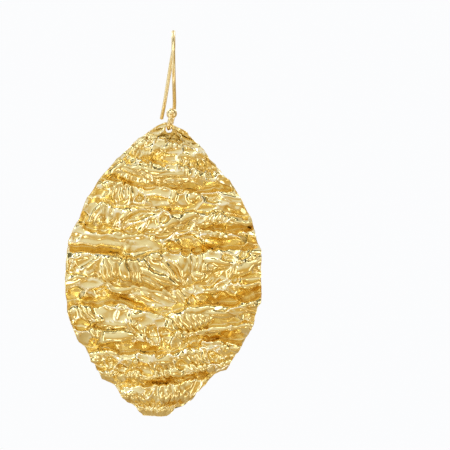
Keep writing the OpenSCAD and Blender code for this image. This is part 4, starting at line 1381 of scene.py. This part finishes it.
def gold_plate(name, deep, pale, tone_scale, grain_scale, roughness, grain_height, creased):
    """Gold plate between two colours, pale to deep. A creased sheet has its hollows and creases stored:
    its hollows are rougher and take the deep colour as a painted shade, and its creases get a
    painted shade in the valleys and a painted highlight on the ridges."""
    material = bpy.data.materials.new(name)
    material.use_nodes = True
    tree = material.node_tree
    place = add_node(tree, "TexCoord", {})["Object"]
    scales = {"Vector": place, "Tone Scale": tone_scale, "Grain Scale": grain_scale}
    plate = add_node(tree, "Group", scales, node_tree=marks)
    tone = plate["Tone"]
    rough = share_between(tree, plate["Dulling"], *DULLING, *roughness)
    if creased:
        groove_shade_and_roughness = stored(tree, "groove_shade_and_roughness")
        # the grooves take the deep colour as a painted shade, and are rougher
        tone = calculate(tree, "MULTIPLY_ADD", tone, SHEET_TONE, groove_shade_and_roughness)
        rough = calculate(tree, "MULTIPLY_ADD", groove_shade_and_roughness, HOLLOW_ROUGHNESS, rough)
    colour = blend(tree, share_between(tree, tone, TONE_START, 1.0), pale, deep)
    if creased:
        # painted shade in the valleys and painted highlight on the ridges of the cells
        crease_light = {"Color": colour, "Crease Light": stored(tree, "crease_light")}
        colour = add_node(tree, "Group", crease_light, node_tree=crease_shading_group)["Color"]
    grain = {"Strength": 1.0, "Distance": grain_height, "Height": plate["Height"]}
    looks = {"Metallic": 1.0, "Base Color": colour, "Roughness": rough}
    looks["Normal"] = add_node(tree, "Bump", grain)["Normal"]
    feed(tree, tree.nodes["Principled BSDF"], looks)
    return material


sheet_gold = gold_plate(
    "sheet_gold",
    deep=(0.92, 0.725, 0.305),
    pale=(0.905, 0.73, 0.325),
    tone_scale=260.0,
    grain_scale=1100.0,
    roughness=(0.12, 0.2),
    grain_height=0.000002,
    creased=True,
)
wire_gold = gold_plate(
    "wire_gold",
    deep=(0.9, 0.65, 0.27),
    pale=(0.93, 0.74, 0.38),
    tone_scale=300.0,
    grain_scale=3200.0,
    roughness=(0.22, 0.3),
    grain_height=0.000001,
    creased=False,
)
print("materials: sheet_gold and wire_gold")

# %% Place the pieces
wire_points, wire_faces = tube(*wire_profile(), WIRE_SIDES)
first_ring = list(range(WIRE_SIDES))
last_ring = [len(wire_points) - WIRE_SIDES + number for number in first_ring]
wire_faces = wire_faces.tolist() + [first_ring[::-1], last_ring]
ear_hook_wire = new_piece("ear_hook_wire", wire_points, wire_faces, wire_gold)
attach(ear_hook_wire, "hook")
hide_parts("ear_hook")

oval_drop_sheet = new_piece("oval_drop_sheet", all_points[used], drop_faces, sheet_gold, rim_numbers)
# stored for the painted shade and the roughness of the grooves, and for the painted shade and highlight
# of the creases
for mark, values in (("groove_shade_and_roughness", groove_share), ("crease_light", border)):
    both = np.concatenate([values.ravel(), 0 * values[::2, ::2].ravel()])[used]
    store = oval_drop_sheet.data.attributes.new(mark, "FLOAT", "POINT")
    store.data.foreach_set("value", both.astype(np.float32))
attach(oval_drop_sheet, "drop")
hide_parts("oval_drop")
print("pieces placed:", ear_hook_wire.name, "and", oval_drop_sheet.name)
